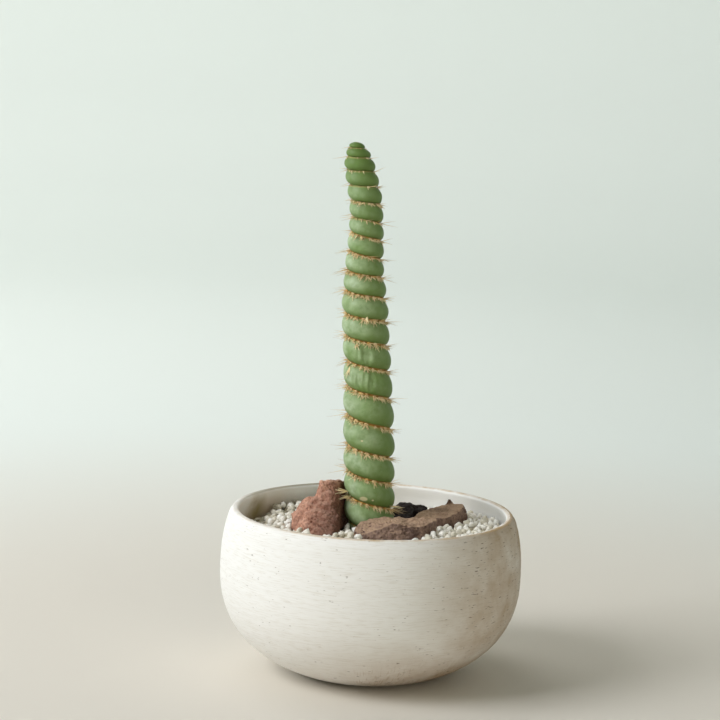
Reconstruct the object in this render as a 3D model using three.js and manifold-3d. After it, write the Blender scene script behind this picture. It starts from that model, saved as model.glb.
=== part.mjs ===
// A spiral column cactus (Eulychnia castanea, spiralis form) in a wide rounded bowl.
// One rib winds round the stem like a coil, with a seam of felted areoles and spines in its groove.
// The soil is topped with white pumice, and four pieces of lava rock lie round the stem.
// Millimetres, +Z up. The origin is the centre of the bowl's flat underside, and the front faces -Y.
import * as THREE from "three";
import { mergeVertices } from "three/addons/utils/BufferGeometryUtils.js";
import Module from "manifold-3d";

const wasm = await Module();
wasm.setup();

const SEAT_GAP = 0.3; // between pieces that touch
const ROUND_SIDES = 36; // of the bowl and what fills it

const bowl = {
  height: 120,
  widestRadius: 110,
  widestHeight: 76,
  rimRadius: 103,
  wall: 5.5,
  floor: 8,
  underside: 4.5, // how much of the round belly is cut off flat to stand on
  bellyPower: 2.3,
  shoulderPower: 2.5,
  lipRadius: 2.1,
  drainRadius: 6,
  floorRadius: 26,
  dressedHeights: [111, 103], // where the inside is measured beside the pumice
  insideHeights: [96, 76, 45, 22, 12], // where the inside is measured, from the soil's top down
};

const stem = {
  turns: 19.4, // from the growing tip down to the last turn, in the pumice
  firstTurn: -0.6,
  sides: 18, // columns of the faceted surface round each turn
  grooveDepth: 0.19, // as a share of the radius
  grooveFloor: 0.9, // how much deeper the felt's channel is, in mm
  buriedRadius: 15.5,
  buriedDepth: 42,
};

const felt = {
  firstColumn: 31, // columns of the stem, counted from the tip
  lastColumn: 345,
  halfHeight: 1.0,
  smallestHalfHeight: 0.55,
  heightPerPitch: 0.055,
  proud: 0.9, // beyond the groove's floor
  areoleEvery: 2, // columns
  areoleWidth: 1.2,
};

const spines = {
  shortest: 6,
  longest: 11,
  clearance: 0.15,
  share: 0.8, // of the four places in an areole that hold a spine
};

const soilTop = 96;
const pumice = {
  edgeHeight: 105.5,
  middleHeight: 109.5,
  riseToRight: 0.026,
  dipAtLeft: { from: 50, slope: 0.12, most: 4.5 },
  dipInFront: { from: 34, slope: 0.16, most: 3.2 },
  rings: [88, 62, 36], // radii at which the surface is measured
  stemHole: 19.4,
  grain: 11.5, // across one grain, larger than life
  sunk: 1.8, // how far a grain's middle lies below the surface
  seed: 11,
};

// Height, tilt and radius of the rib against the number of turns below the tip, and the stem's own line.
const turnHeights = [[-1, 389.5], [0, 387], [2, 377.3], [5, 346.5], [8, 309.4], [11, 264.8], [14, 211], [16.5, 157.6],
  [19, 112], [21, 76]];
const turnTilts = [[-1, 0.08], [0, 0.1], [3, 0.22], [7, 0.06], [10, 0.16], [13, 0.09], [16, 0.06], [19, 0.03]];
const ribRadii = [[-1, 3.5], [0.5, 5.4], [1.5, 8], [2.5, 10.6], [4, 11.7], [6.5, 12.7], [9.3, 14.8], [10.8, 16.8],
  [13, 17.5], [15.5, 18.9], [18, 18.6], [21, 17]];
const leanX = [[60, -1], [110, -1.9], [145, -3.6], [185, -5.5], [225, -8], [262, -11], [295, -12.8], [325, -12.5],
  [345, -13.7], [365, -17.8], [390, -23.4]];
const leanY = [[60, 0], [240, 2.5], [390, -2]];

// Each rock is one or more blocks, given by their corners.
const rocks = {
  lava_rock_red: {
    colour: 0x9c6350,
    blocks: [
      [[-59.2, 6, 105], [-57.9, -14, 105], [-54, -20, 105], [-45.2, -31, 105], [-35.8, -38, 105], [-28.1, -39.5, 105],
        [-23.5, -27, 105], [-21.8, -4, 105], [-21.5, 10.5, 105], [-19.8, 15, 105], [-34, 20, 105], [-50, 20, 105],
        [-59.4, 7, 110], [-58.8, 2, 114.4], [-56.9, -2, 118.4], [-54.7, -3, 121.4], [-52.5, -4, 123.9],
        [-49.8, -8, 128.8], [-44.1, -9, 130.2], [-35.8, -37, 109], [-28.1, -38.5, 108.5], [-23.8, -26, 114.3],
        [-24.4, -23, 119.3], [-26.5, -20, 122.3], [-30.6, -14.5, 129.5], [-40, 11, 126], [-24, 4, 128]],
      [[-38.6, -7, 141.3], [-33.8, -6, 142.1], [-30.1, -6, 141.7], [-23, 1, 140.4], [-22.4, 5, 138.3],
        [-21, 10.8, 137.5], [-19, 15, 136], [-30, 13, 138], [-38.8, 9, 138], [-39.3, -6, 133.8], [-42, -4, 130.2],
        [-45, 2, 122], [-28.6, -11, 134.3], [-30.6, -14.2, 131.4], [-26.5, -18, 122.3], [-24.4, -14, 112],
        [-22, -2, 112], [-21.5, 6, 112], [-21, 11, 112], [-19, 15, 112], [-38, 15, 112], [-37, -15, 124]],
    ],
  },
  lava_rock_front: {
    colour: 0x7d5f56,
    blocks: [
      [[-12.5, -38, 105], [4.6, -45, 105], [19.4, -45.5, 105], [26, -44.5, 105], [26, -20, 105], [4, -19.5, 105],
        [-11, -23, 105], [-14.2, -33, 108.9], [-12.8, -38.2, 107], [-11.7, -30, 112.3], [-8.9, -25, 116.2],
        [-1.8, -23, 117.9], [8.8, -22, 120.2], [18.4, -22, 120.3], [26, -22, 119.6], [-10.4, -35, 111.6],
        [0.3, -41, 112.8], [5.6, -41.2, 114.6], [10.2, -40.6, 116.9], [13.7, -40, 118.7], [19, -39.6, 119.1],
        [24.3, -40, 117.6]],
      [[16, -44.8, 105], [34.2, -42.8, 105], [42.5, -32, 105], [45.5, -21, 105], [45, -12, 105], [30, -12, 105],
        [14, -20, 105], [22, -40.5, 116.4], [29.7, -40.4, 117.1], [36.8, -38, 117.5], [40.4, -33, 118.4],
        [46.6, -20, 117.3], [46.6, -17, 118.5], [37.5, -20, 120], [30.3, -22, 120.5], [20, -23, 120],
        [43.7, -27, 112], [45.5, -21, 114.5], [34.5, -41, 109]],
    ],
  },
  lava_rock_right: {
    colour: 0x7a5d4e,
    blocks: [
      [[31, 3, 105.5], [50, 3.5, 105.5], [57, 7, 105.5], [62, 14, 105.5], [67.5, 21, 105.5], [70, 27, 105.5],
        [68, 38, 105.5], [56, 40, 105.5], [45, 33, 105.5], [32, 24, 105.5], [30.9, 8, 114.4], [33.4, 20, 115],
        [40.8, 26, 115.9], [43.9, 29, 117.3], [46.9, 31, 118.3], [53.1, 34, 118.8], [59.3, 36, 119.3],
        [65.5, 36, 119.8], [68.6, 32, 117.6], [70.1, 27, 114.4], [69.2, 24, 111.8], [47.2, 4, 114.3],
        [54.5, 6, 115.1], [59.5, 12, 115.9], [64.5, 20, 117.5], [67.1, 28, 119.6]],
      [[52.5, 32.5, 114], [61, 34, 114], [57, 39, 114], [55, 35, 120.6], [57, 36.5, 122.8], [58.9, 36.5, 120.4]],
    ],
  },
  lava_rock_dark: {
    colour: 0x3d3237,
    blocks: [
      [[16.5, 15, 105.5], [28.3, 15, 105.5], [28.6, 26, 105.5], [33, 48, 105.5], [22, 51, 105.5], [14, 44, 105.5],
        [13.5, 27, 105.5], [16.5, 15.5, 111.3], [28.3, 15.5, 111.3], [15.2, 26, 115.5], [18.7, 33, 116.9],
        [22.3, 39, 119], [27.3, 39, 118.6], [30.4, 38, 116.8], [30, 30, 113.6], [20, 46, 117], [29, 47, 116]],
      [[26, 33, 105.5], [35, 32, 105.5], [42, 40, 105.5], [38, 49, 105.5], [26, 48, 105.5], [36.7, 42, 116.4],
        [41.1, 42, 114.3], [38.6, 37, 113.7], [34, 31.5, 113.3], [29, 38, 116.4], [36, 47, 115.6], [28, 46, 115.8]],
    ],
  },
};

const colours = { bowl: 0xe9e6df, soil: 0x5b4a3c, pumice: 0xdcdacf, stem: 0x6f9467, felt: 0xc9a268 };

// A smooth curve through [x, y] points, as a function of x.
function smoothThrough(points) {
  const slope = (i) => {
    const a = points[Math.max(i - 1, 0)];
    const b = points[Math.min(i + 1, points.length - 1)];
    return (b[1] - a[1]) / (b[0] - a[0]);
  };
  return (x) => {
    let i = points.length - 2;
    while (i > 0 && x < points[i][0]) i -= 1;
    const [x0, y0] = points[i];
    const [x1, y1] = points[i + 1];
    const span = x1 - x0;
    const t = THREE.MathUtils.clamp((x - x0) / span, 0, 1);
    const u = 1 - t;
    return u * u * (1 + 2 * t) * y0 + t * t * (3 - 2 * t) * y1 +
      t * u * span * (u * slope(i) - t * slope(i + 1));
  };
}

// A repeatable random number from 0 to 1 on each call.
function seeded(seed) {
  let state = seed;
  return () => {
    state = (state + 0x6d2b79f5) | 0;
    let t = Math.imul(state ^ (state >>> 15), 1 | state);
    t = (t + Math.imul(t ^ (t >>> 7), 61 | t)) ^ t;
    return ((t ^ (t >>> 14)) >>> 0) / 4294967296;
  };
}

// Three.js geometry to a solid that can be joined and cut, and back.
function solidOf(geometry) {
  const bare = geometry.clone();
  bare.deleteAttribute("normal");
  bare.deleteAttribute("uv");
  const merged = mergeVertices(bare, 1e-4);
  return new wasm.Manifold(new wasm.Mesh({
    numProp: 3,
    vertProperties: merged.attributes.position.array,
    triVerts: new Uint32Array(merged.index.array),
  }));
}

function geometryOf(solid) {
  const mesh = solid.getMesh();
  const geometry = new THREE.BufferGeometry();
  geometry.setAttribute("position", new THREE.BufferAttribute(new Float32Array(mesh.vertProperties), 3));
  geometry.setIndex(new THREE.BufferAttribute(new Uint32Array(mesh.triVerts), 1));
  geometry.computeVertexNormals();
  return geometry;
}

function geometryFrom(points, faces) {
  const geometry = new THREE.BufferGeometry();
  geometry.setAttribute("position", new THREE.Float32BufferAttribute(points.flat(), 3));
  geometry.setIndex(faces.flat());
  geometry.computeVertexNormals();
  return geometry;
}

// A turned solid about +Z from [radius, height] points that run upwards on the outside.
function turned(profile) {
  const outline = profile.map(([r, z]) => new THREE.Vector2(r, z));
  return new THREE.LatheGeometry(outline, ROUND_SIDES).rotateX(Math.PI / 2);
}

// Outer and inner radius of the bowl at a height.
function bellyCurve(z, radius, bottom) {
  const down = THREE.MathUtils.clamp((bowl.widestHeight - z) / (bowl.widestHeight - bottom), 0, 1);
  return radius * (1 - down ** bowl.bellyPower) ** (1 / bowl.bellyPower);
}

function shoulderInset(z) {
  const up = Math.max(z - bowl.widestHeight, 0) / (bowl.height - bowl.widestHeight);
  return (bowl.widestRadius - bowl.rimRadius) * up ** bowl.shoulderPower;
}

const outerRadius = (z) => bellyCurve(z, bowl.widestRadius, -bowl.underside) - shoulderInset(z);
const innerRadius = (z) => bellyCurve(z, bowl.widestRadius - bowl.wall, bowl.floor) - shoulderInset(z);

function bowlGeometry() {
  const lip = bowl.lipRadius;
  const outside = [0, 3, 10, 21, 36, 55, 76, 98].map((z) => [outerRadius(z), z]);
  const inside = [...bowl.dressedHeights, ...bowl.insideHeights].map((z) => [innerRadius(z), z]);
  const innerRim = innerRadius(bowl.height);
  const lipArc = (r, start) => [0, 60, 90].map((turn) => {
    const a = THREE.MathUtils.degToRad(start + turn);
    return [r + lip * Math.cos(a), bowl.height - lip + lip * Math.sin(a)];
  });
  const profile = [
    [bowl.drainRadius, 0], ...outside,
    ...lipArc(bowl.rimRadius - lip, 0), ...lipArc(innerRim + lip, 90), ...inside,
    [bowl.floorRadius, bowl.floor], [bowl.drainRadius, bowl.floor], [bowl.drainRadius, 0],
  ];
  return turned(profile);
}

function soilGeometry() {
  const hole = stem.buriedRadius + SEAT_GAP;
  const holeFloor = soilTop + SEAT_GAP - stem.buriedDepth;
  const side = bowl.insideHeights.toReversed().map((z) => [
    innerRadius(z) - SEAT_GAP,
    z < bowl.widestHeight ? z + SEAT_GAP : z,
  ]);
  return turned([
    [0, bowl.floor + SEAT_GAP], [bowl.floorRadius - SEAT_GAP, bowl.floor + SEAT_GAP], ...side,
    [hole, soilTop], [hole, holeFloor], [0, holeFloor],
  ]);
}

// Height of the pumice's surface: a low mound that rises to the right, and dips by the wall at the left and in front.
function pumiceHeight(x, y) {
  const out = Math.hypot(x, y) / innerRadius(pumice.edgeHeight);
  const mound = pumice.middleHeight + (pumice.edgeHeight - pumice.middleHeight) * out * out;
  const dip = ({ from, slope, most }, past) => THREE.MathUtils.clamp((past - from) * slope, 0, most);
  return mound + pumice.riseToRight * x - dip(pumice.dipAtLeft, -x) - dip(pumice.dipInFront, -y);
}

const turnHeight = smoothThrough(turnHeights);
const turnTilt = smoothThrough(turnTilts);
const ribRadius = smoothThrough(ribRadii);
const stemX = smoothThrough(leanX);
const stemY = smoothThrough(leanY);
const groovePitch = (m) => turnHeight(m - 0.5) - turnHeight(m + 0.5);

// The rib's swell across one turn: 0 in the groove above and the groove below, fullest at 0.62 of the way down.
function swell(f) {
  return Math.sin(Math.PI * THREE.MathUtils.clamp(f, 0, 1) ** 1.45) ** 0.65;
}

// A point of the stem at an angle, m turns below the tip, at a given distance from the stem's line.
function onStem(angle, m, radius) {
  const across = radius * Math.cos(angle);
  const level = turnHeight(m);
  return [
    stemX(level) + across,
    stemY(level) + radius * Math.sin(angle),
    level + turnTilt(m) * across,
  ];
}

const seamAngle = (n) => Math.PI + 2 * Math.PI * n;
const grooveRadius = (m) => ribRadius(m) * (1 - stem.grooveDepth);
const ribSurface = (m, f) => ribRadius(m) * (1 - stem.grooveDepth * (1 - swell(f)));

function feltHalf(m) {
  return THREE.MathUtils.clamp(felt.heightPerPitch * groovePitch(m), felt.smallestHalfHeight, felt.halfHeight);
}

// The channel in the groove fades out towards the tip, where there is no felt yet.
function channelRadius(m) {
  return grooveRadius(m) - stem.grooveFloor * THREE.MathUtils.smoothstep(m, 0.3, 1.3);
}

// One turn's outline from groove to groove, as [turns below the groove, radius].
function turnOutline(n) {
  const edge = (feltHalf(n) + SEAT_GAP) / groovePitch(n);
  const lowEdge = (feltHalf(n + 1) + SEAT_GAP) / groovePitch(n + 1);
  const rib = [edge, 0.25, 0.58, 0.84, 1 - lowEdge];
  return [
    [edge * 0.98, channelRadius(n)],
    ...rib.map((f) => [f, ribSurface(n + f, f)]),
    [1 - lowEdge * 0.98, channelRadius(n + 1)],
  ];
}

// The coil is a strip that meets itself one turn down, closed by a fan at each end.
function coilGeometry() {
  const rowsPerTurn = turnOutline(5).length;
  const wholeTurns = Math.ceil(stem.turns - stem.firstTurn);
  const rows = wholeTurns * rowsPerTurn;
  const points = [];
  const faces = [];
  for (let j = 0; j < stem.sides; j += 1) {
    for (let row = 0; row < rows + rowsPerTurn; row += 1) {
      const n = stem.firstTurn + j / stem.sides + Math.floor(row / rowsPerTurn);
      const [f, radius] = turnOutline(n)[row % rowsPerTurn];
      points.push(onStem(seamAngle(stem.firstTurn + j / stem.sides), n + f, radius));
    }
  }
  const at = (j, row) => (j === stem.sides ? row + rowsPerTurn : j * (rows + rowsPerTurn) + row);
  for (let j = 0; j < stem.sides; j += 1) {
    for (let row = 0; row < rows - 1; row += 1) {
      faces.push([at(j, row), at(j, row + 1), at(j + 1, row + 1)], [at(j, row), at(j + 1, row + 1), at(j + 1, row)]);
    }
  }
  const fan = (edgeRow, level, flip) => {
    const ring = [];
    for (let j = 0; j <= stem.sides; j += 1) ring.push(at(j, edgeRow));
    for (let row = edgeRow + rowsPerTurn - 1; row > edgeRow; row -= 1) ring.push(at(0, row));
    const centre = points.push([stemX(level), stemY(level), level]) - 1;
    ring.forEach((a, i) => {
      const b = ring[(i + 1) % ring.length];
      faces.push(flip ? [centre, b, a] : [centre, a, b]);
    });
  };
  fan(0, turnHeight(stem.firstTurn) + 0.4, false);
  fan(rows - 1, turnHeight(stem.firstTurn + wholeTurns + 0.5), true);
  return geometryFrom(points, faces);
}

function stemSolid() {
  const reach = 60;
  const cutHeight = soilTop + 7;
  const below = new THREE.BoxGeometry(reach, reach, reach).translate(0, 0, cutHeight - reach / 2);
  const buried = new THREE.CylinderGeometry(stem.buriedRadius, stem.buriedRadius * 0.8, stem.buriedDepth + 8,
    stem.sides).rotateX(Math.PI / 2).translate(0, 0, soilTop - stem.buriedDepth / 2 + SEAT_GAP * 2 + 4);
  return solidOf(coilGeometry()).subtract(solidOf(below)).add(solidOf(buried));
}

// How far a point stands clear of the stem's own surface, outwards from the stem's line.
function clearOfStem(point) {
  let low = stem.firstTurn;
  let high = 20.9;
  for (let i = 0; i < 24; i += 1) {
    const middle = (low + high) / 2;
    const across = point.x - stemX(turnHeight(middle));
    if (turnHeight(middle) + turnTilt(middle) * across > point.z) low = middle;
    else high = middle;
  }
  const level = turnHeight(low);
  const [x, y] = [point.x - stemX(level), point.y - stemY(level)];
  const turnsDown = low - (Math.atan2(y, x) - Math.PI) / (2 * Math.PI);
  const f = turnsDown - Math.floor(turnsDown);
  const inChannel = Math.min(f, 1 - f) * groovePitch(low) < feltHalf(low) + SEAT_GAP / 2;
  return Math.hypot(x, y) - (inChannel ? channelRadius(low) : ribSurface(low, f));
}

// The tip of a spine on a three-cornered root, fanned up or down and to its own side.
// It is laid flatter until it clears the rib and the rocks.
function spineTip(corners, n, up, aside, random, obstacles) {
  const angle = seamAngle(n);
  const out = new THREE.Vector3(Math.cos(angle), Math.sin(angle), 0);
  const along = new THREE.Vector3(-Math.sin(angle), Math.cos(angle), 0);
  const grown = 0.7 + 0.3 * THREE.MathUtils.smoothstep(n, 0, 9);
  const length = THREE.MathUtils.lerp(spines.shortest, spines.longest, random()) * grown;
  const sideways = aside * (0.15 + random() * 0.5);
  const root = corners[0].clone().add(corners[1]).add(corners[2]).divideScalar(3);
  let rise = up * (0.1 + random() * 0.4);
  for (let attempt = 0; attempt < 7; attempt += 1) {
    const direction = out.clone().addScaledVector(along, sideways).setZ(rise + turnTilt(n) * out.x).normalize();
    const tip = root.clone().addScaledVector(direction, length);
    const clear = corners.every((corner) => [0.04, 0.08, 0.13, 0.2, 0.35, 0.5, 0.7, 0.85, 1].every((t) => {
      const point = corner.clone().lerp(tip, t);
      return clearOfStem(point) > spines.clearance && obstacles.every((covers) => !covers(point, SEAT_GAP));
    }));
    if (clear) return tip;
    rise = rise * 0.6 - up * 0.03;
  }
  return null;
}

// The felt is a three-sided band in the groove, with spines drawn out of its upper and lower face.
function seamGeometry(obstacles) {
  const random = seeded(7);
  const sections = [];
  for (let column = felt.firstColumn; column <= felt.lastColumn; column += 1) {
    const n = stem.firstTurn + column / stem.sides;
    const half = felt.areoleWidth / 2 / (2 * Math.PI * grooveRadius(n));
    if (column % felt.areoleEvery === 0) sections.push({ n: n - half, areole: true }, { n: n + half });
    else sections.push({ n });
  }
  const points = sections.flatMap(({ n }) => {
    const half = feltHalf(n) / groovePitch(n);
    const inner = channelRadius(n) + SEAT_GAP;
    const outer = grooveRadius(n) + felt.proud;
    return [[-half, inner], [0, outer], [half, inner]].map(([f, r]) => onStem(seamAngle(n), n + f, r));
  });
  const faces = [];
  const addFace = ([a, b, c], spine) => {
    const corners = [a, b, c].map((corner) => new THREE.Vector3(...points[corner]));
    const tip = spine && random() < spines.share && spineTip(corners, ...spine, random, obstacles);
    if (tip) {
      const at = points.push(tip.toArray()) - 1;
      faces.push([a, b, at], [b, c, at], [c, a, at]);
    } else {
      faces.push([a, b, c]);
    }
  };
  for (let i = 0; i < sections.length - 1; i += 1) {
    const { n, areole } = sections[i];
    for (let k = 0; k < 3; k += 1) {
      const [a, b] = [i * 3 + k, i * 3 + ((k + 1) % 3)];
      const up = k === 0 ? 1 : -1;
      const holdsSpines = areole && k < 2;
      addFace([a, b, b + 3], holdsSpines && [n, up, up]);
      addFace([a, b + 3, a + 3], holdsSpines && [n, up, -up]);
    }
  }
  const end = (sections.length - 1) * 3;
  faces.push([0, 2, 1], [end, end + 1, end + 2]);
  return geometryFrom(points, faces);
}

// A block is the hull of its corners. Its faces are kept as planes, so that it can be grown.
function blockOf(corners) {
  const mesh = wasm.Manifold.hull(corners).getMesh();
  const corner = (i) => new THREE.Vector3().fromArray(mesh.vertProperties, mesh.triVerts[i] * mesh.numProp);
  const planes = [];
  for (let i = 0; i < mesh.triVerts.length; i += 3) {
    const plane = new THREE.Plane().setFromCoplanarPoints(corner(i), corner(i + 1), corner(i + 2));
    const known = planes.some((other) => other.normal.dot(plane.normal) > 0.99999);
    if (plane.normal.length() > 0.5 && !known) planes.push(plane);
  }
  return { corners, planes };
}

function blockSolid({ corners, planes }, grow) {
  if (grow === 0) return wasm.Manifold.hull(corners);
  const size = 120;
  const start = new THREE.BoxGeometry(size, size, size).translate(...corners[0]);
  return planes.reduce((solid, { normal, constant }) =>
    solid.trimByPlane(normal.clone().negate().toArray(), constant - grow), solidOf(start));
}

const rockSolid = (blocks, grow) => blocks.map((block) => blockSolid(block, grow)).reduce((a, b) => a.add(b));
const insideBlock = ({ planes }, point, margin) => planes.every((plane) => plane.distanceToPoint(point) < margin);

// One grain: an octahedron stretched and turned at random.
function grainGeometry(random, size) {
  const turn = new THREE.Euler(random() * 6, random() * 6, random() * 6);
  const half = size / 2;
  return new THREE.OctahedronGeometry(1, 0)
    .scale(half * (1 + random() * 0.3), half * (0.95 + random() * 0.25), half * (0.85 + random() * 0.3))
    .applyQuaternion(new THREE.Quaternion().setFromEuler(turn));
}

// Grains sit on a sunflower spiral, sunk into one layer, clear of the stem, the rocks and the wall.
function pumiceSolid(rockBlocks) {
  const random = seeded(pumice.seed);
  const wallAt = (z) => innerRadius(z) - SEAT_GAP;
  const bottom = soilTop + SEAT_GAP;
  const layer = turned([
    [0, bottom], [wallAt(bottom), bottom], ...[wallAt(pumice.edgeHeight), ...pumice.rings, 0].map((r) => [r, soilTop + 9]),
  ]);
  const spots = layer.attributes.position;
  for (let i = 0; i < spots.count; i += 1) {
    if (spots.getZ(i) > bottom + 1) {
      const [x, y] = [spots.getX(i), spots.getY(i)];
      const height = pumiceHeight(x, y);
      const wider = Math.hypot(x, y) > pumice.rings[0] + 1 ? wallAt(height) / wallAt(pumice.edgeHeight) : 1;
      spots.setXYZ(i, x * wider, y * wider, height);
    }
  }
  const [holeX, holeY] = [stemX(pumice.middleHeight), stemY(pumice.middleHeight)];
  const hole = new THREE.CylinderGeometry(pumice.stemHole, pumice.stemHole, 60, ROUND_SIDES)
    .rotateX(Math.PI / 2)
    .translate(holeX, holeY, pumice.middleHeight);
  let solid = solidOf(layer);
  const golden = Math.PI * (3 - Math.sqrt(5));
  const rim = wallAt(pumice.middleHeight) - pumice.grain * 0.68;
  const count = Math.round((Math.PI * rim * rim) / (pumice.grain * pumice.grain * 0.86));
  for (let i = 0; i < count; i += 1) {
    const radius = rim * Math.sqrt((i + 0.5) / count) + (random() - 0.5) * 1.2;
    const angle = i * golden + (random() - 0.5) * 0.05;
    const grain = grainGeometry(random, pumice.grain * (0.8 + random() * 0.35));
    const [x, y] = [radius * Math.cos(angle), radius * Math.sin(angle)];
    const place = new THREE.Vector3(x, y, pumiceHeight(x, y) - pumice.sunk + random() * 1.2);
    const nearStem = Math.hypot(place.x - holeX, place.y - holeY) < pumice.stemHole + 1;
    const underRock = rockBlocks.flat().some((block) => insideBlock(block, place, -2.5));
    if (radius < rim && !nearStem && !underRock) {
      solid = solid.add(solidOf(grain.translate(place.x, place.y, place.z)));
    }
  }
  solid = solid.trimByPlane([0, 0, 1], bottom).subtract(solidOf(hole));
  for (const blocks of rockBlocks) solid = solid.subtract(rockSolid(blocks, SEAT_GAP));
  return solid.decompose().sort((a, b) => b.volume() - a.volume())[0];
}

const plant = new THREE.Group();

function addPiece(name, geometry, colour, roughness) {
  const material = new THREE.MeshStandardMaterial({ color: colour, roughness, metalness: 0 });
  const mesh = new THREE.Mesh(geometry, material);
  mesh.name = name;
  plant.add(mesh);
}

const rockBlocks = Object.values(rocks).map((rock) => rock.blocks.map(blockOf));
const obstacles = rockBlocks.flat().map((block) => (point, margin) => insideBlock(block, point, margin));

addPiece("bowl", bowlGeometry(), colours.bowl, 0.75);
addPiece("soil", soilGeometry(), colours.soil, 0.95);
addPiece("pumice_dressing", geometryOf(pumiceSolid(rockBlocks)), colours.pumice, 0.95);
addPiece("stem", geometryOf(stemSolid()), colours.stem, 0.55);
addPiece("areoles_and_spines", seamGeometry(obstacles), colours.felt, 0.8);
Object.entries(rocks).forEach(([name, rock], i) => {
  addPiece(name, geometryOf(rockSolid(rockBlocks[i], 0)), rock.colour, 0.95);
});

export default plant;
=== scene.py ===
import bpy
import bmesh
import math
from functools import partial
from mathutils import Matrix, Vector


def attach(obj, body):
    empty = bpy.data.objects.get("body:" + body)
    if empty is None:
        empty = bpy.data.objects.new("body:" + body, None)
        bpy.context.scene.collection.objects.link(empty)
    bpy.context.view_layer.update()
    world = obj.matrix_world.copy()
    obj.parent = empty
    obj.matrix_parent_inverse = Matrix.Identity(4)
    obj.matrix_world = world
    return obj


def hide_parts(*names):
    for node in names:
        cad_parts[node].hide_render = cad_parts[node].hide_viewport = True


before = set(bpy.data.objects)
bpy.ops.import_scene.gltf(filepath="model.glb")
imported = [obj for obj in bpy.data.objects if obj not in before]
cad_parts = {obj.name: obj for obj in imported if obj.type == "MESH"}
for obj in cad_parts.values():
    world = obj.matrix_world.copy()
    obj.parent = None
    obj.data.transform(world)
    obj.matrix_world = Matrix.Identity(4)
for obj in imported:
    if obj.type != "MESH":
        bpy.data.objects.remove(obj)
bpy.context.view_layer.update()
mm = 0.001
scene = bpy.context.scene
scene.view_settings.view_transform = "Standard"


# Small helpers

# sRGB hex to the linear colour that sockets take
def colour(hexCode):
    channels = [int(hexCode[i:i + 2], 16) / 255 for i in (1, 3, 5)]
    return [c / 12.92 if c <= 0.04045 else ((c + 0.055) / 1.055) ** 2.4 for c in channels] + [1.0]


# Adds a node with its settings, and sets or links its inputs, given in their order or by name or number. The
# kind leaves out the prefix. A MapRange takes its value, then the range it comes from, then the one it goes
# to.
def addNode(tree, kind, given=(), **settings):
    prefixes = ("GeometryNode", "FunctionNode", "ShaderNode", "")
    node = tree.nodes.new(next(prefix + kind for prefix in prefixes if hasattr(bpy.types, prefix + kind)))
    for name, value in settings.items():
        setattr(node, name, value)
    for key, value in (given if isinstance(given, dict) else dict(enumerate(given))).items():
        socket = node.inputs[key] if isinstance(key, int) else next(
            s for s in node.inputs if s.name == key and s.enabled)
        sources = value if isinstance(value, list) and isinstance(value[0], bpy.types.Node) else [value]
        for source in sources:
            if isinstance(source, bpy.types.Node):
                source = next(s for s in source.outputs if s.enabled)
            if isinstance(source, bpy.types.NodeSocket):
                tree.links.new(source, socket)
            else:
                socket.default_value = source
    return node


# a smooth curve through points, with the slopes taken from each point's neighbours
def smoothThrough(points):
    def slope(i):
        (x0, y0), (x1, y1) = points[max(i - 1, 0)], points[min(i + 1, len(points) - 1)]
        return (y1 - y0) / (x1 - x0)

    def law(x):
        i = max([k for k in range(len(points) - 1) if points[k][0] <= x] or [0])
        (x0, y0), (x1, y1) = points[i], points[i + 1]
        t = min(max((x - x0) / (x1 - x0), 0), 1)
        u = 1 - t
        bend = t * u * (x1 - x0) * (u * slope(i) - t * slope(i + 1))
        return u * u * (1 + 2 * t) * y0 + t * t * (3 - 2 * t) * y1 + bend

    return law


# a geometry tree and what adds its nodes, with an input for each value: name -> number, or a type of socket
def newTree(name, inputs, outputs=None):
    tree = bpy.data.node_groups.new(name, "GeometryNodeTree")
    for title, value in inputs.items():
        kind = {int: "NodeSocketInt", float: "NodeSocketFloat"}.get(type(value), value)
        socket = tree.interface.new_socket(title, in_out="INPUT", socket_type=kind)
        if kind != value:
            socket.default_value = value
    for title, kind in (outputs or {"Geometry": "NodeSocketGeometry"}).items():
        tree.interface.new_socket(title, in_out="OUTPUT", socket_type=kind)
    return tree, partial(addNode, tree)


# runs a tree on a mesh with the piece's own values, and keeps the result as a plain mesh
def growPiece(name, tree, values, startMesh=None):
    piece = bpy.data.objects.new(name, startMesh or bpy.data.meshes.new(name))
    scene.collection.objects.link(piece)
    modifier = piece.modifiers.new("Grow", "NODES")
    modifier.node_group = tree
    for item in tree.interface.items_tree:
        if item.in_out == "INPUT" and item.name in values:
            modifier[item.identifier] = values[item.name]
    bakeModifiers(piece)
    return piece


# applies every modifier by taking the evaluated mesh
def bakeModifiers(piece):
    depsgraph = bpy.context.evaluated_depsgraph_get()
    mesh = bpy.data.meshes.new_from_object(piece.evaluated_get(depsgraph), preserve_all_data_layers=True,
                                           depsgraph=depsgraph)
    piece.modifiers.clear()
    piece.data = mesh
    mesh.name = piece.name


# turns a profile of (radius, height) points in mm about the z axis; a radius of 0 is a pole
def turnedMesh(name, profile, sides, closed=False, ripple=None):
    form = bmesh.new()
    rings = []
    for k, (radius, height) in enumerate(profile):
        if radius == 0:
            rings.append([form.verts.new((0, 0, height * mm))] * sides)
            continue
        ring = []
        for j in range(sides):
            angle = 2 * math.pi * j / sides
            push = ripple(angle, radius, height) if ripple else 0
            ring.append(form.verts.new(((radius + push) * mm * math.cos(angle),
                                        (radius + push) * mm * math.sin(angle), height * mm)))
        rings.append(ring)
    pairs = list(zip(rings, rings[1:])) + ([(rings[-1], rings[0])] if closed else [])
    for low, high in pairs:
        for j in range(sides):
            corners = [low[j], low[(j + 1) % sides], high[(j + 1) % sides], high[j]]
            corners = [v for i, v in enumerate(corners) if v not in corners[:i]]
            form.faces.new(corners).smooth = True
    bmesh.ops.recalc_face_normals(form, faces=form.faces)
    mesh = bpy.data.meshes.new(name)
    form.to_mesh(mesh)
    form.free()
    return mesh


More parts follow.
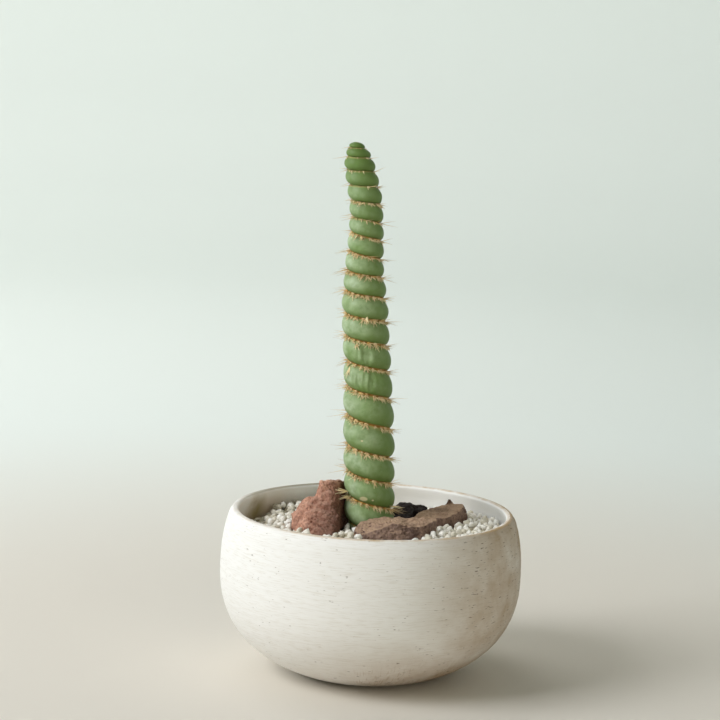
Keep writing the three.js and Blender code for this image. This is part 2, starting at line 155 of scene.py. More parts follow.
# one mesh from several pieces, for a tree to read
def joinedMesh(name, pieces):
    form = bmesh.new()
    for piece in pieces:
        form.from_mesh(piece.data)
    mesh = bpy.data.meshes.new(name)
    form.to_mesh(mesh)
    form.free()
    return mesh


# a material and what adds its nodes
def newMaterial(name, roughness, ior=1.5, specular=0.5, **others):
    material = bpy.data.materials.new(name)
    material.use_nodes = True
    shader = material.node_tree.nodes["Principled BSDF"]
    values = {"Roughness": roughness, "IOR": ior, "Specular IOR Level": specular, **others}
    for title, value in values.items():
        shader.inputs[title.replace("_", " ")].default_value = value
    return material, partial(addNode, material.node_tree)


# lays coats of (amount, hex code) over a material's colour, and gives it relief of (height, strength, depth)
def finishMaterial(material, base, coats=(), relief=None):
    tree = material.node_tree
    shader = tree.nodes["Principled BSDF"]
    if isinstance(base, str):
        base = colour(base)
    for amount, hexCode in coats:
        base = addNode(tree, "Mix", {0: amount, 6: base, 7: colour(hexCode)}, data_type="RGBA")
    tree.links.new(next(s for s in base.outputs if s.enabled), shader.inputs["Base Color"])
    if relief:
        bump = addNode(tree, "Bump", dict(zip(("Height", "Strength", "Distance"), relief)))
        tree.links.new(bump.outputs[0], shader.inputs["Normal"])


# Camera and light, set to the photograph's viewing angle

# millimetres and degrees; the shift is a share of the picture's width
view = {"distance": 1700, "pitch": 8.288, "roll": 2.243, "aimHeight": 230.4, "lens": 117.61, "sensor": 36,
        "shift": -0.02593}

cameraData = bpy.data.cameras.new("camera")
cameraData.lens = view["lens"]
cameraData.sensor_width = view["sensor"]
cameraData.shift_x = view["shift"]
cameraData.clip_end = 50
camera = bpy.data.objects.new("camera", cameraData)
scene.collection.objects.link(camera)
pitch, roll = math.radians(view["pitch"]), math.radians(view["roll"])
forward = Vector((0, math.cos(pitch), -math.sin(pitch)))
upward = Vector((0, math.sin(pitch), math.cos(pitch)))
rightward = Vector((1, 0, 0))
turn = Matrix((rightward * math.cos(roll) + upward * math.sin(roll),
               upward * math.cos(roll) - rightward * math.sin(roll), -forward)).transposed()
place = Vector((0, 0, view["aimHeight"] * mm)) - forward * view["distance"] * mm
camera.matrix_world = Matrix.Translation(place) @ turn.to_4x4()
scene.camera = camera

studio = {
    "floor": "#E2DCD1",
    "wall": "#E8EEE9",
    "sky": "#EAE9E4",
    "skyStrength": 0.15,
    # name: (place in m, point it faces, width in m, watts, colour)
    "window": ((-2.05, -0.85, 1.7), (0, 0, 0.2), 1.5, 56, "#F8FAFF"),
    "frontFill": ((0.9, -2.5, 0.9), (0, 0, 0.2), 1.6, 8.5, "#FFE8CC"),
    "wallWash": ((-1.2, 1.3, 2.4), (-0.9, 3.4, 0.5), 2.2, 42, "#FCFAFA"),
}

# a round sweep, so that there is a floor and a plain wall behind the pot from every side
floorProfile = [(0, 0), (2600, 0), (2900, 30), (3150, 120), (3350, 300), (3470, 560), (3500, 900),
                (3500, 3600)]
floor = bpy.data.objects.new("studio_floor", turnedMesh("studio_floor", floorProfile, 96))
scene.collection.objects.link(floor)
floorMaterial, add = newMaterial("painted studio floor", 0.9, specular=0.1)
distance = add("VectorMath", [add("TexCoord").outputs["Object"]], operation="LENGTH")
rise = add("MapRange", [distance.outputs["Value"], 0.25, 1.1], interpolation_type="SMOOTHSTEP")
finishMaterial(floorMaterial, studio["floor"], [(rise, studio["wall"])])
floor.data.materials.append(floorMaterial)
floor.data.flip_normals()

for name in ("window", "frontFill", "wallWash"):
    spot, target, width, watts, tone = studio[name]
    lamp = bpy.data.lights.new(name, "AREA")
    lamp.size = width
    lamp.energy = watts
    lamp.color = colour(tone)[:3]
    holder = bpy.data.objects.new(name, lamp)
    holder.location = spot
    holder.rotation_euler = (Vector(target) - Vector(spot)).to_track_quat("-Z", "Y").to_euler()
    scene.collection.objects.link(holder)

world = bpy.data.worlds.new("studio")
world.use_nodes = True
world.node_tree.nodes["Background"].inputs["Color"].default_value = colour(studio["sky"])
world.node_tree.nodes["Background"].inputs["Strength"].default_value = studio["skyStrength"]
scene.world = world
print("studio ready")

# Materials

# Slipped earthenware: white slip brushed on while the pot turned, then fired matt. It gives hair-fine level
# brush marks, short brown nicks where the slip has chipped, a bare tan line along the lip, and rubbed patches
# where the brown body shows through, most of them on the right and low down, where their tan also paints warm
# shade.
bowlMaterial, add = newMaterial("brushed white slip on earthenware", 0.8, specular=0.25)
slip = {"white": "#F4F2EE", "hair": "#D9D2C6", "ring": "#DDD6CA", "inside": "#FFFEFB", "rubbedAndShaded": "#A17E4C",
        "nick": "#634A33", "scratch": "#A3835C", "lip": "#C2A06F", "paintedLipShade": "#87836F", "stain": "#E0CBB4",
        "crust": "#A2915F"}
place = add("TexCoord").outputs["Object"]
levels = add("SeparateXYZ", [place])
# brush hairs 0.6 mm high and about 10 mm long, over broader rings 3 mm high
hairSpace = add("Mapping", {"Vector": place, "Scale": (100, 100, 1600)})
hairs = add("TexNoise", {"Vector": hairSpace, "Scale": 1.0, "Detail": 4.0, "Roughness": 0.6})
ringSpace = add("Mapping", {"Vector": place, "Scale": (9, 9, 330)})
rings = add("TexNoise", {"Vector": ringSpace, "Scale": 1.0, "Detail": 3.0})
hairTone = add("MapRange", [hairs.outputs[0], 0.5, 0.74, 0.0, 0.62])
ringTone = add("MapRange", [rings.outputs[0], 0.45, 0.75, 0.0, 0.12])
# whether the wall faces away from the axis, to tell the outside from the inside
flatPlace = add("VectorMath", [place, (1, 1, 0)], operation="MULTIPLY")
facing = add("VectorMath", [add("NewGeometry").outputs["Normal"], flatPlace], operation="DOT_PRODUCT")
outside = add("Math", [facing.outputs["Value"], 0.0], operation="GREATER_THAN")
inside = add("Math", [1.0, outside], operation="SUBTRACT")
cleaner = add("Math", [inside, 0.8], operation="MULTIPLY")
# rubbed patches, more of them to the right and low down; there the same tan is also painted warm shade on the
# bowl's right side and lower part
patches = add("TexNoise", {"Vector": place, "Scale": 26.0, "Detail": 5.0, "Roughness": 0.62})
toRight = add("MapRange", [levels.outputs["X"], 0.016, 0.1], interpolation_type="SMOOTHSTEP")
lowDownWearAndShade = add("MapRange", [levels.outputs["Z"], 0.055, 0.008, 0.0, 1.15])
offLeft = add("MapRange", [levels.outputs["X"], -0.06, 0.06])
lowDownWearAndShade = add("Math", [lowDownWearAndShade, offLeft], operation="MULTIPLY")
wornAndPaintedShade = add("Math", [toRight, lowDownWearAndShade], operation="MAXIMUM")
wornAndPaintedShade = add("Math", [wornAndPaintedShade, outside], operation="MULTIPLY")
rubbedAndShaded = add("MapRange", [patches.outputs[0], 0.3, 0.7, 0.35])
rubbedAndShaded = add("Math", [rubbedAndShaded, wornAndPaintedShade], operation="MULTIPLY")
rubbedAndShadedTone = add("Math", [rubbedAndShaded, 0.92], operation="MULTIPLY")
# nicks 0.8 mm high and 3 to 6 mm long, in clusters
nickSpace = add("Mapping", {"Vector": place, "Scale": (210, 210, 1250)})
nicks = add("TexNoise", {"Vector": nickSpace, "Scale": 1.0, "Detail": 1.5, "Roughness": 0.5})
clusters = add("TexNoise", {"Vector": place, "Scale": 42.0, "Detail": 2.0})
often = add("Math", [clusters.outputs[0], wornAndPaintedShade])
nickLimit = add("MapRange", [often, 0.35, 1.5, 0.73, 0.655])
nickOver = add("Math", [nicks.outputs[0], nickLimit], operation="SUBTRACT")
nickTone = add("MapRange", [nickOver, 0.0, 0.06, 0.0, 0.8])
nickTone = add("Math", [nickTone, outside], operation="MULTIPLY")
# upright scratches near the foot, where the pot was trimmed
rubbedPatch = add("MapRange", [clusters.outputs[0], 0.4, 0.58])
around = add("Math", [levels.outputs["Y"], levels.outputs["X"]], operation="ARCTAN2")
scratchSpace = add("CombineXYZ", {0: around, 2: levels.outputs["Z"]})
scratchSpace = add("Mapping", {"Vector": scratchSpace, "Scale": (80, 1, 150)})
scratches = add("TexNoise", {"Vector": scratchSpace, "Scale": 1.0, "Detail": 2.0})
nearFoot = add("MapRange", [levels.outputs["Z"], 0.034, 0.016, 0.0, 0.75])
scratchOver = add("MapRange", [scratches.outputs[0], 0.54, 0.68])
scratchTone = scratchOver
for amount in (nearFoot, offLeft, rubbedPatch):
    scratchTone = add("Math", [scratchTone, amount], operation="MULTIPLY")
# the lip: slip rubbed thin on top, and a bare line along its outer edge
lipNoise = add("TexNoise", {"Vector": place, "Scale": 85.0, "Detail": 5.0, "Roughness": 0.65})
lipTop = add("MapRange", [levels.outputs["Z"], 0.1189, 0.1197])
lipRange = add("MapRange", [lipNoise.outputs[0], 0.35, 0.65, 0.15, 0.8])
lipTone = add("Math", [lipTop, lipRange], operation="MULTIPLY")
lipFade = add("MapRange", [levels.outputs["X"], -0.1, -0.02, 0.3])
lipTone = add("Math", [lipTone, lipFade], operation="MULTIPLY")
# painted shade: a grey line along the lip at the back on the left, where the rim's back edge lies in shadow
lipShadeBack = add("MapRange", [levels.outputs["Y"], 0.02, 0.06])
lipShadeLeft = add("MapRange", [levels.outputs["X"], 0.02, -0.03, 0.0, 0.85])
paintedLipShade = add("Math", [lipShadeBack, lipShadeLeft], operation="MULTIPLY")
paintedLipShade = add("Math", [paintedLipShade, lipTop], operation="MULTIPLY")
# inside: brown stains above the pumice, mostly on the left
wet = add("MapRange", [levels.outputs["Z"], 0.1165, 0.103])
toLeft = add("MapRange", [levels.outputs["X"], 0.02, -0.07])
blotch = add("MapRange", [patches.outputs[0], 0.32, 0.62, 0.25, 0.95])
stain = add("Math", [wet, 0.7, 0.3], operation="MULTIPLY_ADD")
for amount in (toLeft, inside, blotch):
    stain = add("Math", [stain, amount], operation="MULTIPLY")
# and what is left of old soil in the left of the angle between wall and pumice
apart = add("VectorMath", [place, (-0.089, 0.048, 0.1055)], operation="DISTANCE")
crust = add("MapRange", [apart.outputs["Value"], 0.017, 0.006, 0.0, 0.9])
crust = add("Math", [crust, blotch], operation="MULTIPLY")
crust = add("Math", [crust, inside], operation="MULTIPLY", use_clamp=True)
relief = add("Math", [hairs.outputs[0], nickTone], operation="SUBTRACT")
finishMaterial(bowlMaterial, slip["white"], [
    (hairTone, slip["hair"]), (ringTone, slip["ring"]), (cleaner, slip["inside"]),
    (rubbedAndShadedTone, slip["rubbedAndShaded"]), (nickTone, slip["nick"]), (scratchTone, slip["scratch"]),
    (lipTone, slip["lip"]), (paintedLipShade, slip["paintedLipShade"]), (stain, slip["stain"]), (crust, slip["crust"])],
    (relief, 0.35, 0.0003))

# Cactus skin: a waxy green skin with a grey bloom, yellower towards the grooves, with painted shade darkening
# the lower part of each band and painted light and shade across its sides.
skinMaterial, add = newMaterial("waxy cactus skin", 0.5, ior=1.45, specular=0.35, Subsurface_Weight=0.06,
                                Subsurface_Radius=(0.3, 1.0, 0.2), Subsurface_Scale=0.003)
skin = {"green": "#7B9752", "young": "#5C7733", "bloomAndPaintedLight": "#AFC09B", "paintedBandShade": "#56682C", "paintedShadeRight": "#4A5A24",
        "mottle": "#66803E", "edge": "#BDB273", "felted": "#BE8E4B", "scar": "#D8CFA4"}
# x, z, width and height in mm
skinScars = [(-7.0, 130.9, 6.2, 3.7), (-0.3, 130.2, 1.7, 1.4), (-9.7, 173.4, 1.8, 1.3)]
place = add("TexCoord").outputs["Object"]
across = add("Attribute", attribute_name="acrossRib").outputs["Fac"]
mottle = add("TexNoise", {"Vector": place, "Scale": 170.0, "Detail": 5.0, "Roughness": 0.65})
patches = add("TexNoise", {"Vector": place, "Scale": 60.0, "Detail": 3.0})
bloomBand = add("FloatCurve", {"Value": across})
for x, y in ((0.2, 0.75), (0.45, 0.9), (0.75, 0.4)):
    bloomBand.mapping.curves[0].points.new(x, y)
bloomBand.mapping.curves[0].points[0].location = (0, 0.15)
bloomBand.mapping.curves[0].points[-1].location = (1, 0)
bloomBand.mapping.update()
bloomPatch = add("MapRange", [patches.outputs[0], 0.3, 0.7, 0.2, 0.9])
turnsDown = add("Attribute", attribute_name="turnsDown").outputs["Fac"]
youth = add("MapRange", [turnsDown, 9.0, 1.5, 0.0, 0.9])
grown = add("Math", [1.0, youth], operation="SUBTRACT")
bloomAndPaintedLight = add("Math", [bloomBand, bloomPatch], operation="MULTIPLY")
bloomAndPaintedLight = add("Math", [bloomAndPaintedLight, grown], operation="MULTIPLY")
# painted light and shade: the left side, which faces the lamp, gets more of the pale bloom colour as painted
# light, and the right side is painted a darker green as shade
sides = add("SeparateXYZ", [add("NewGeometry").outputs["Normal"]])
paintedLightLeft = add("MapRange", [sides.outputs["X"], 0.8, -0.85, 0.35, 1.75])
bloomAndPaintedLight = add("Math", [bloomAndPaintedLight, paintedLightLeft], operation="MULTIPLY", use_clamp=True)
paintedShadeRight = add("MapRange", [sides.outputs["X"], -0.1, 0.9, 0.0, 0.34])
paintedShadeRight = add("Math", [paintedShadeRight, grown], operation="MULTIPLY")
# painted shade: each band darkens towards its lower edge, where it turns down from the light and hangs over
# the groove
paintedBandShadeTone = add("MapRange", [across, 0.65, 1.0, 0.0, 0.7])
mottleTone = add("MapRange", [mottle.outputs[0], 0.4, 0.68, 0.0, 0.6])
edgeTone = add("MapRange", [across, 0.03, 0.17, 0.75, 0.0])
# gold felt lines the groove where the stem is old enough
fromMiddle = add("Math", [across, 0.5], operation="SUBTRACT")
fromMiddle = add("Math", [fromMiddle], operation="ABSOLUTE")
felted = add("MapRange", [fromMiddle, 0.42, 0.47])
oldEnough = add("MapRange", [turnsDown, 5.8, 7.5])
felted = add("Math", [felted, oldEnough], operation="MULTIPLY")
axes = add("SeparateXYZ", [place])
inFront = add("Math", [axes.outputs["Y"], 0.0], operation="LESS_THAN")
scars = []
for x, z, width, height in skinScars:
    fromScar = add("VectorMath", [place, (x * mm, 0, z * mm)], operation="SUBTRACT")
    radii = (2 / width / mm, 0, 2 / height / mm)
    fromScar = add("Mapping", {"Vector": fromScar, "Rotation": (0, 0.12, 0), "Scale": radii})
    fromScar = add("VectorMath", [fromScar], operation="LENGTH")
    scar = add("MapRange", [fromScar.outputs["Value"], 1.1, 0.75])
    scars.append((add("Math", [scar, inFront], operation="MULTIPLY"), skin["scar"]))
finishMaterial(skinMaterial, skin["green"], [
    (youth, skin["young"]), (bloomAndPaintedLight, skin["bloomAndPaintedLight"]), (paintedShadeRight, skin["paintedShadeRight"]), (paintedBandShadeTone, skin["paintedBandShade"]),
    (mottleTone, skin["mottle"]), (edgeTone, skin["edge"]), (felted, skin["felted"]), *scars],
    (mottle.outputs[0], 0.35, 0.0006))

# Spines are horn, straw yellow going grey at the tip, and rusty where they leave the felt.
spineMaterial, add = newMaterial("horny cactus spine", 0.55)
along = add("Attribute", attribute_name="along").outputs["Fac"]
tint = add("Attribute", attribute_name="tint").outputs["Fac"]
ramp = add("ValToRGB", [along])
ramp.color_ramp.elements[0].color = colour("#B8762F")
ramp.color_ramp.elements[1].color = colour("#8F7650")
ramp.color_ramp.elements.new(0.3).color = colour("#DFAC60")
finishMaterial(spineMaterial, ramp, [(tint, "#FFEDBE")])

# Areole felt: short matted hairs, cream to rusty tan, with no shine.
feltMaterial, add = newMaterial("areole felt", 0.95, specular=0.1)
place = add("TexCoord").outputs["Object"]
tint = add("Attribute", attribute_name="tint").outputs["Fac"]
tufts = add("TexNoise", {"Vector": place, "Scale": 900.0, "Detail": 3.0})
dark = add("MapRange", [tufts.outputs[0], 0.35, 0.65, 0.4, 0.0])
finishMaterial(feltMaterial, "#DFAE62", [(tint, "#FFF0C8"), (dark, "#9A6632")])

# Pumice: frothy volcanic glass, off-white and full of pores, so it scatters light and never shines.
pumiceMaterial, add = newMaterial("crushed pumice", 0.92, specular=0.2)
place = add("TexCoord").outputs["Object"]
tint = add("Attribute", attribute_name="tint").outputs["Fac"]
# the tint runs from a dark brown, which is painted shade for grains low in the gaps and for the untinted
# layer beneath them, to off-white
ramp = add("ValToRGB", [tint])
ramp.color_ramp.elements[0].color = colour("#4E4633")
ramp.color_ramp.elements[1].color = colour("#FFFDF6")
for position, hexCode in ((0.1, "#C9BEA2"), (0.3, "#E0D9C6"), (0.6, "#F0EBDE")):
    ramp.color_ramp.elements.new(position).color = colour(hexCode)
# painted shade: the pores are darkened, as shade inside them
pores = add("TexVoronoi", {"Vector": place, "Scale": 900.0})
paintedPoreShade = add("MapRange", [pores.outputs["Distance"], 0.1, 0.4, 0.28, 0.0])
finishMaterial(pumiceMaterial, ramp, [(paintedPoreShade, "#8E8778")], (pores.outputs["Distance"], 0.6, 0.0004))

# Lava rock: basalt that cooled full of gas, rough and dull, rusty where its iron has weathered.
# For each: how dusty it is, how much painted shade it has low down on the right, and its colours of stone,
# light stone, dark stone (also the painted shade in the pits and low on the right) and dust.
lavaMaterials = {}
for name, dusty, paintedShadeLowRight, tones in (
    ("weathered red lava", 0.6, 0.72, ("#9A6B58", "#E1AC93", "#4A2D24", "#DFB8A2")),
    ("brown lava", 1.3, 0.0, ("#614C44", "#A68A7A", "#3A2B26", "#C8A78A")),
    ("dark lava", 0.25, 0.0, ("#1F1816", "#352B2B", "#100C0C", "#483C39")),
):
    material, add = newMaterial(name, 0.9, specular=0.25)
    place = add("TexCoord").outputs["Object"]
    stains = add("TexNoise", {"Vector": place, "Scale": 75.0, "Detail": 7.0, "Roughness": 0.7})
    grains = add("TexNoise", {"Vector": place, "Scale": 520.0, "Detail": 4.0, "Roughness": 0.6})
    bubbles = add("TexVoronoi", {"Vector": place, "Scale": 420.0})
    light = add("MapRange", [stains.outputs[0], 0.36, 0.64])
    speckle = add("MapRange", [grains.outputs[0], 0.48, 0.7, 0.0, 0.55])
    # painted shade: the gas pits are darkened with the dark stone colour, as shade inside them
    paintedPitShade = add("MapRange", [bubbles.outputs["Distance"], 0.08, 0.26, 0.6, 0.0])
    # pale dust has settled on what faces up
    lies = add("SeparateXYZ", [add("NewGeometry").outputs["Normal"]])
    dust = add("MapRange", [lies.outputs["Z"], 0.45, 0.85, 0.0, dusty])
    dust = add("Math", [dust, stains.outputs[0]], operation="MULTIPLY")
    # painted shade: the red rock is darker low down on its right, where it lies in shadow beside the stem
    low = add("VectorMath", [place, (1.0, 0.0, -0.6)], operation="DOT_PRODUCT")
    low = add("MapRange", [low.outputs["Value"], -0.12, -0.099, 0.0, paintedShadeLowRight])
    height = add("Math", [bubbles.outputs["Distance"], grains.outputs[0]])
    finishMaterial(material, tones[0], [(light, tones[1]), (speckle, tones[2]), (paintedPitShade, tones[2]),
                                        (dust, tones[3]), (low, tones[2])], (height, 0.9, 0.0011))
    lavaMaterials[name] = material

# Potting soil, only seen if the pumice is lifted: dark crumbs of bark and peat.
soilMaterial, add = newMaterial("potting soil", 0.95, specular=0.15)
place = add("TexCoord").outputs["Object"]
crumbs = add("TexNoise", {"Vector": place, "Scale": 320.0, "Detail": 6.0, "Roughness": 0.7})
ramp = add("ValToRGB", [crumbs.outputs[0]])
ramp.color_ramp.elements[0].color = colour("#2B1F17")
ramp.color_ramp.elements[1].color = colour("#7A604A")
finishMaterial(soilMaterial, ramp, relief=(crumbs.outputs[0], 0.7, 0.001))
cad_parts["soil"].data.materials.clear()
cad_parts["soil"].data.materials.append(soilMaterial)
print("materials ready")

# Bowl

bowl = {"height": 120, "widestRadius": 110, "widestHeight": 76, "rimRadius": 103, "wall": 5.5, "floor": 8,
        "underside": 4.5, "bellyPower": 2.3, "shoulderPower": 2.5, "drainRadius": 6, "lipRadius": 2.4,
        "sides": 200, "throwingRipple": 0.1}


def bowlRadius(z, radius, bottom):
    down = min(max((bowl["widestHeight"] - z) / (bowl["widestHeight"] - bottom), 0), 1)
    up = max(z - bowl["widestHeight"], 0) / (bowl["height"] - bowl["widestHeight"])
    belly = radius * (1 - down ** bowl["bellyPower"]) ** (1 / bowl["bellyPower"])
    return belly - (bowl["widestRadius"] - bowl["rimRadius"]) * up ** bowl["shoulderPower"]


def bowlOutside(z):
    return bowlRadius(z, bowl["widestRadius"], -bowl["underside"])


def bowlInside(z):
    return bowlRadius(z, bowl["widestRadius"] - bowl["wall"], bowl["floor"])


def throwing(angle, radius, height):
    fine = math.sin(height * 2.1 + 0.5 * math.sin(angle * 2))
    broad = math.sin(height * 0.83 + math.sin(angle))
    return bowl["throwingRipple"] * (fine * 0.5 + broad * 0.5) * min(radius / 60, 1) - 0.12


def makeBowl():
    lip = bowl["lipRadius"]
    foot = bowlOutside(0)
    outside = [(bowlOutside(z), z) for z in [1.4, 2.2] + [4 + 1.9 * k for k in range(60)] if z < 116.5]
    rim, innerRim = bowl["rimRadius"], bowlInside(bowl["height"])
    lipTop = bowl["height"] - lip
    arc = []
    for middle, start in ((rim - lip, 0), (innerRim + lip, 7)):
        for k in range(8):
            a = math.pi * (start + k) / 14
            arc.append((middle + lip * math.cos(a), lipTop + lip * math.sin(a)))
    inside = [(bowlInside(z), z) for z in [113 - 3 * k for k in range(35)] if z > 9]
    profile = [(bowl["drainRadius"], 0.0), (foot - 1.5, 0.0), (foot - 0.3, 0.5)] + outside + arc + inside
    profile += [(24, bowl["floor"]), (bowl["drainRadius"], bowl["floor"])]
    mesh = turnedMesh("bowl_slipware", profile, bowl["sides"], closed=True, ripple=throwing)
    mesh.materials.append(bowlMaterial)
    piece = bpy.data.objects.new("bowl_slipware", mesh)
    scene.collection.objects.link(piece)
    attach(piece, "root")
    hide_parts("bowl")


makeBowl()
print("bowl ready")

# Lava rocks

# each rock is one or more blocks, given by their corners in mm
rocks = {
    "lava_rock_red": {
        "material": "weathered red lava", "slot": "lava_red", "lumps": 2.6, "chips": 2.1, "pits": 1.5,
        "blocks": [
            [(-59.2, 6, 105), (-57.9, -14, 105), (-54, -20, 105), (-45.2, -31, 105), (-35.8, -38, 105),
             (-28.1, -39.5, 105), (-23.5, -27, 105), (-21.8, -4, 105), (-21.5, 10.5, 105), (-19.8, 15, 105),
             (-34, 20, 105), (-50, 20, 105), (-59.4, 7, 110), (-58.8, 2, 114.4), (-56.9, -2, 118.4),
             (-54.7, -3, 121.4), (-52.5, -4, 123.9), (-49.8, -8, 128.8), (-44.1, -9, 130.2),
             (-35.8, -37, 109), (-28.1, -38.5, 108.5), (-23.8, -26, 114.3), (-24.4, -23, 119.3),
             (-26.5, -20, 122.3), (-30.6, -14.5, 129.5), (-40, 11, 126), (-24, 4, 128)],
            [(-38.6, -7, 141.3), (-33.8, -6, 142.1), (-30.1, -6, 141.7), (-23, 1, 140.4), (-22.4, 5, 138.3),
             (-21, 10.8, 137.5), (-19, 15, 136), (-30, 13, 138), (-38.8, 9, 138), (-39.3, -6, 133.8),
             (-42, -4, 130.2), (-45, 2, 122), (-28.6, -11, 134.3), (-30.6, -14.2, 131.4), (-26.5, -18, 122.3),
             (-24.4, -14, 112), (-22, -2, 112), (-21.5, 6, 112), (-21, 11, 112), (-19, 15, 112),
             (-38, 15, 112), (-37, -15, 124)],
            [(-26, 2, 105), (-22, 3, 105), (-17.4, 12.5, 105), (-18, 18, 105), (-28, 18, 105), (-26, 4, 117),
             (-22.3, 4, 116), (-18.4, 13, 115.5), (-19, 18, 115), (-27, 16, 117)]
        ]},
    "lava_rock_front": {
        "material": "brown lava", "slot": "lava_brown", "lumps": 1.7, "chips": 1.6, "pits": 1.2,
        "blocks": [
            [(-12.5, -38, 105), (4.6, -45, 105), (19.4, -45.5, 105), (26, -44.5, 105), (26, -20, 105),
             (4, -19.5, 105), (-11, -23, 105), (-14.2, -33, 108.9), (-12.8, -38.2, 107), (-11.7, -30, 112.3),
             (-8.9, -25, 116.2), (-1.8, -23, 117.9), (8.8, -22, 120.2), (18.4, -22, 120.3), (26, -22, 119.6),
             (-10.4, -35, 111.6), (0.3, -41, 112.8), (5.6, -41.2, 114.6), (10.2, -40.6, 116.9),
             (13.7, -40, 118.7), (19, -39.6, 119.1), (24.3, -40, 117.6)],
            [(16, -44.8, 105), (34.2, -42.8, 105), (42.5, -32, 105), (45.5, -21, 105), (45, -12, 105),
             (30, -12, 105), (14, -20, 105), (22, -40.5, 116.4), (29.7, -40.4, 117.1), (36.8, -38, 117.5),
             (40.4, -33, 118.4), (46.6, -20, 117.3), (46.6, -17, 118.5), (37.5, -20, 120), (30.3, -22, 120.5),
             (20, -23, 120), (43.7, -27, 112), (45.5, -21, 114.5), (34.5, -41, 109)]
        ]},
    "lava_rock_right": {
        "material": "brown lava", "slot": "lava_brown", "lumps": 1.4, "chips": 1.3, "pits": 1.0,
        "blocks": [
            [(31, 3, 105.5), (50, 3.5, 105.5), (57, 7, 105.5), (62, 14, 105.5), (67.5, 21, 105.5),
             (70, 27, 105.5), (68, 38, 105.5), (56, 40, 105.5), (45, 33, 105.5), (32, 24, 105.5),
             (30.9, 8, 114.4), (33.4, 20, 115), (40.8, 26, 115.9), (43.9, 29, 117.3), (46.9, 31, 118.3),
             (53.1, 34, 118.8), (59.3, 36, 119.3), (65.5, 36, 119.8), (68.6, 32, 117.6), (70.1, 27, 114.4),
             (69.2, 24, 111.8), (47.2, 4, 114.3), (54.5, 6, 115.1), (59.5, 12, 115.9), (64.5, 20, 117.5),
             (67.1, 28, 119.6)],
            [(50.5, 32, 114), (62, 33, 114), (57, 40, 114), (54.2, 34.5, 120.6), (55.8, 36, 123),
             (57.6, 36, 122.6), (60, 36, 120.4)]
        ]},
    "lava_rock_dark": {
        "material": "dark lava", "slot": "lava_dark", "lumps": 2.2, "chips": 2.0, "pits": 1.0,
        "blocks": [
            [(16.5, 15, 105.5), (28.3, 15, 105.5), (28.6, 26, 105.5), (33, 48, 105.5), (22, 51, 105.5),
             (14, 44, 105.5), (13.5, 27, 105.5), (16.5, 15.5, 111.3), (28.3, 15.5, 111.3), (15.2, 26, 115.5),
             (18.7, 33, 116.9), (22.3, 39, 119), (27.3, 39, 118.6), (30.4, 38, 116.8), (30, 30, 113.6),
             (20, 46, 117), (29, 47, 116)],
            [(26, 33, 105.5), (35, 32, 105.5), (42, 40, 105.5), (38, 49, 105.5), (26, 48, 105.5),
             (36.7, 42, 116.4), (41.1, 42, 114.3), (38.6, 37, 113.7), (34, 31.5, 113.3), (29, 38, 116.4),
             (36, 47, 115.6), (28, 46, 115.8)]
        ]},
}


# roughens a stone: lumps, ridged chips and gas pits, all pushed along the surface
def weatheredTree():
    tree, add = newTree("weathered stone", {"Geometry": "NodeSocketGeometry", "Lumps": 2.0, "Chips": 1.0,
                                            "Pits": 0.8, "Seed": 0.0})
    given = add("NodeGroupInput").outputs
    spot = add("InputPosition")
    apart = add("CombineXYZ", [given["Seed"], given["Seed"]])
    spot = add("VectorMath", [spot, apart])
    lumps = add("TexNoise", {"Vector": spot, "Scale": 95.0, "Detail": 3.0, "Roughness": 0.55})
    lumps = add("Math", [lumps.outputs[0], 0.53], operation="SUBTRACT")
    lumps = add("Math", [lumps, given["Lumps"]], operation="MULTIPLY")
    chips = add("TexVoronoi", {"Vector": spot, "Scale": 210.0, "Randomness": 1.0})
    chips = add("Math", [0.42, chips.outputs["Distance"]], operation="SUBTRACT")
    chips = add("Math", [chips, given["Chips"]], operation="MULTIPLY")
    pits = add("TexVoronoi", {"Vector": spot, "Scale": 380.0, "Randomness": 1.0})
    pits = add("MapRange", [pits.outputs["Distance"], 0.15, 0.42, -1.0, 0.0], interpolation_type="SMOOTHSTEP")
    pitted = add("TexNoise", {"Vector": spot, "Scale": 140.0, "Detail": 1.0})
    pitted = add("MapRange", [pitted.outputs[0], 0.42, 0.6])
    pits = add("Math", [pits, pitted], operation="MULTIPLY")
    pits = add("Math", [pits, given["Pits"]], operation="MULTIPLY")
    push = add("Math", [lumps, chips])
    push = add("Math", [push, pits])
    push = add("Math", [push, mm], operation="MULTIPLY")
    offset = add("VectorMath", {0: add("InputNormal"), "Scale": push}, operation="SCALE")
    shape = add("SetPosition", {"Geometry": given["Geometry"], "Offset": offset})
    shape = add("SetShadeSmooth", {"Geometry": shape})
    add("NodeGroupOutput", {"Geometry": add("RealizeInstances", {"Geometry": shape})})
    return tree


rockFinish = {"voxel": 0.6, "cornerPasses": 1}
weathered = weatheredTree()


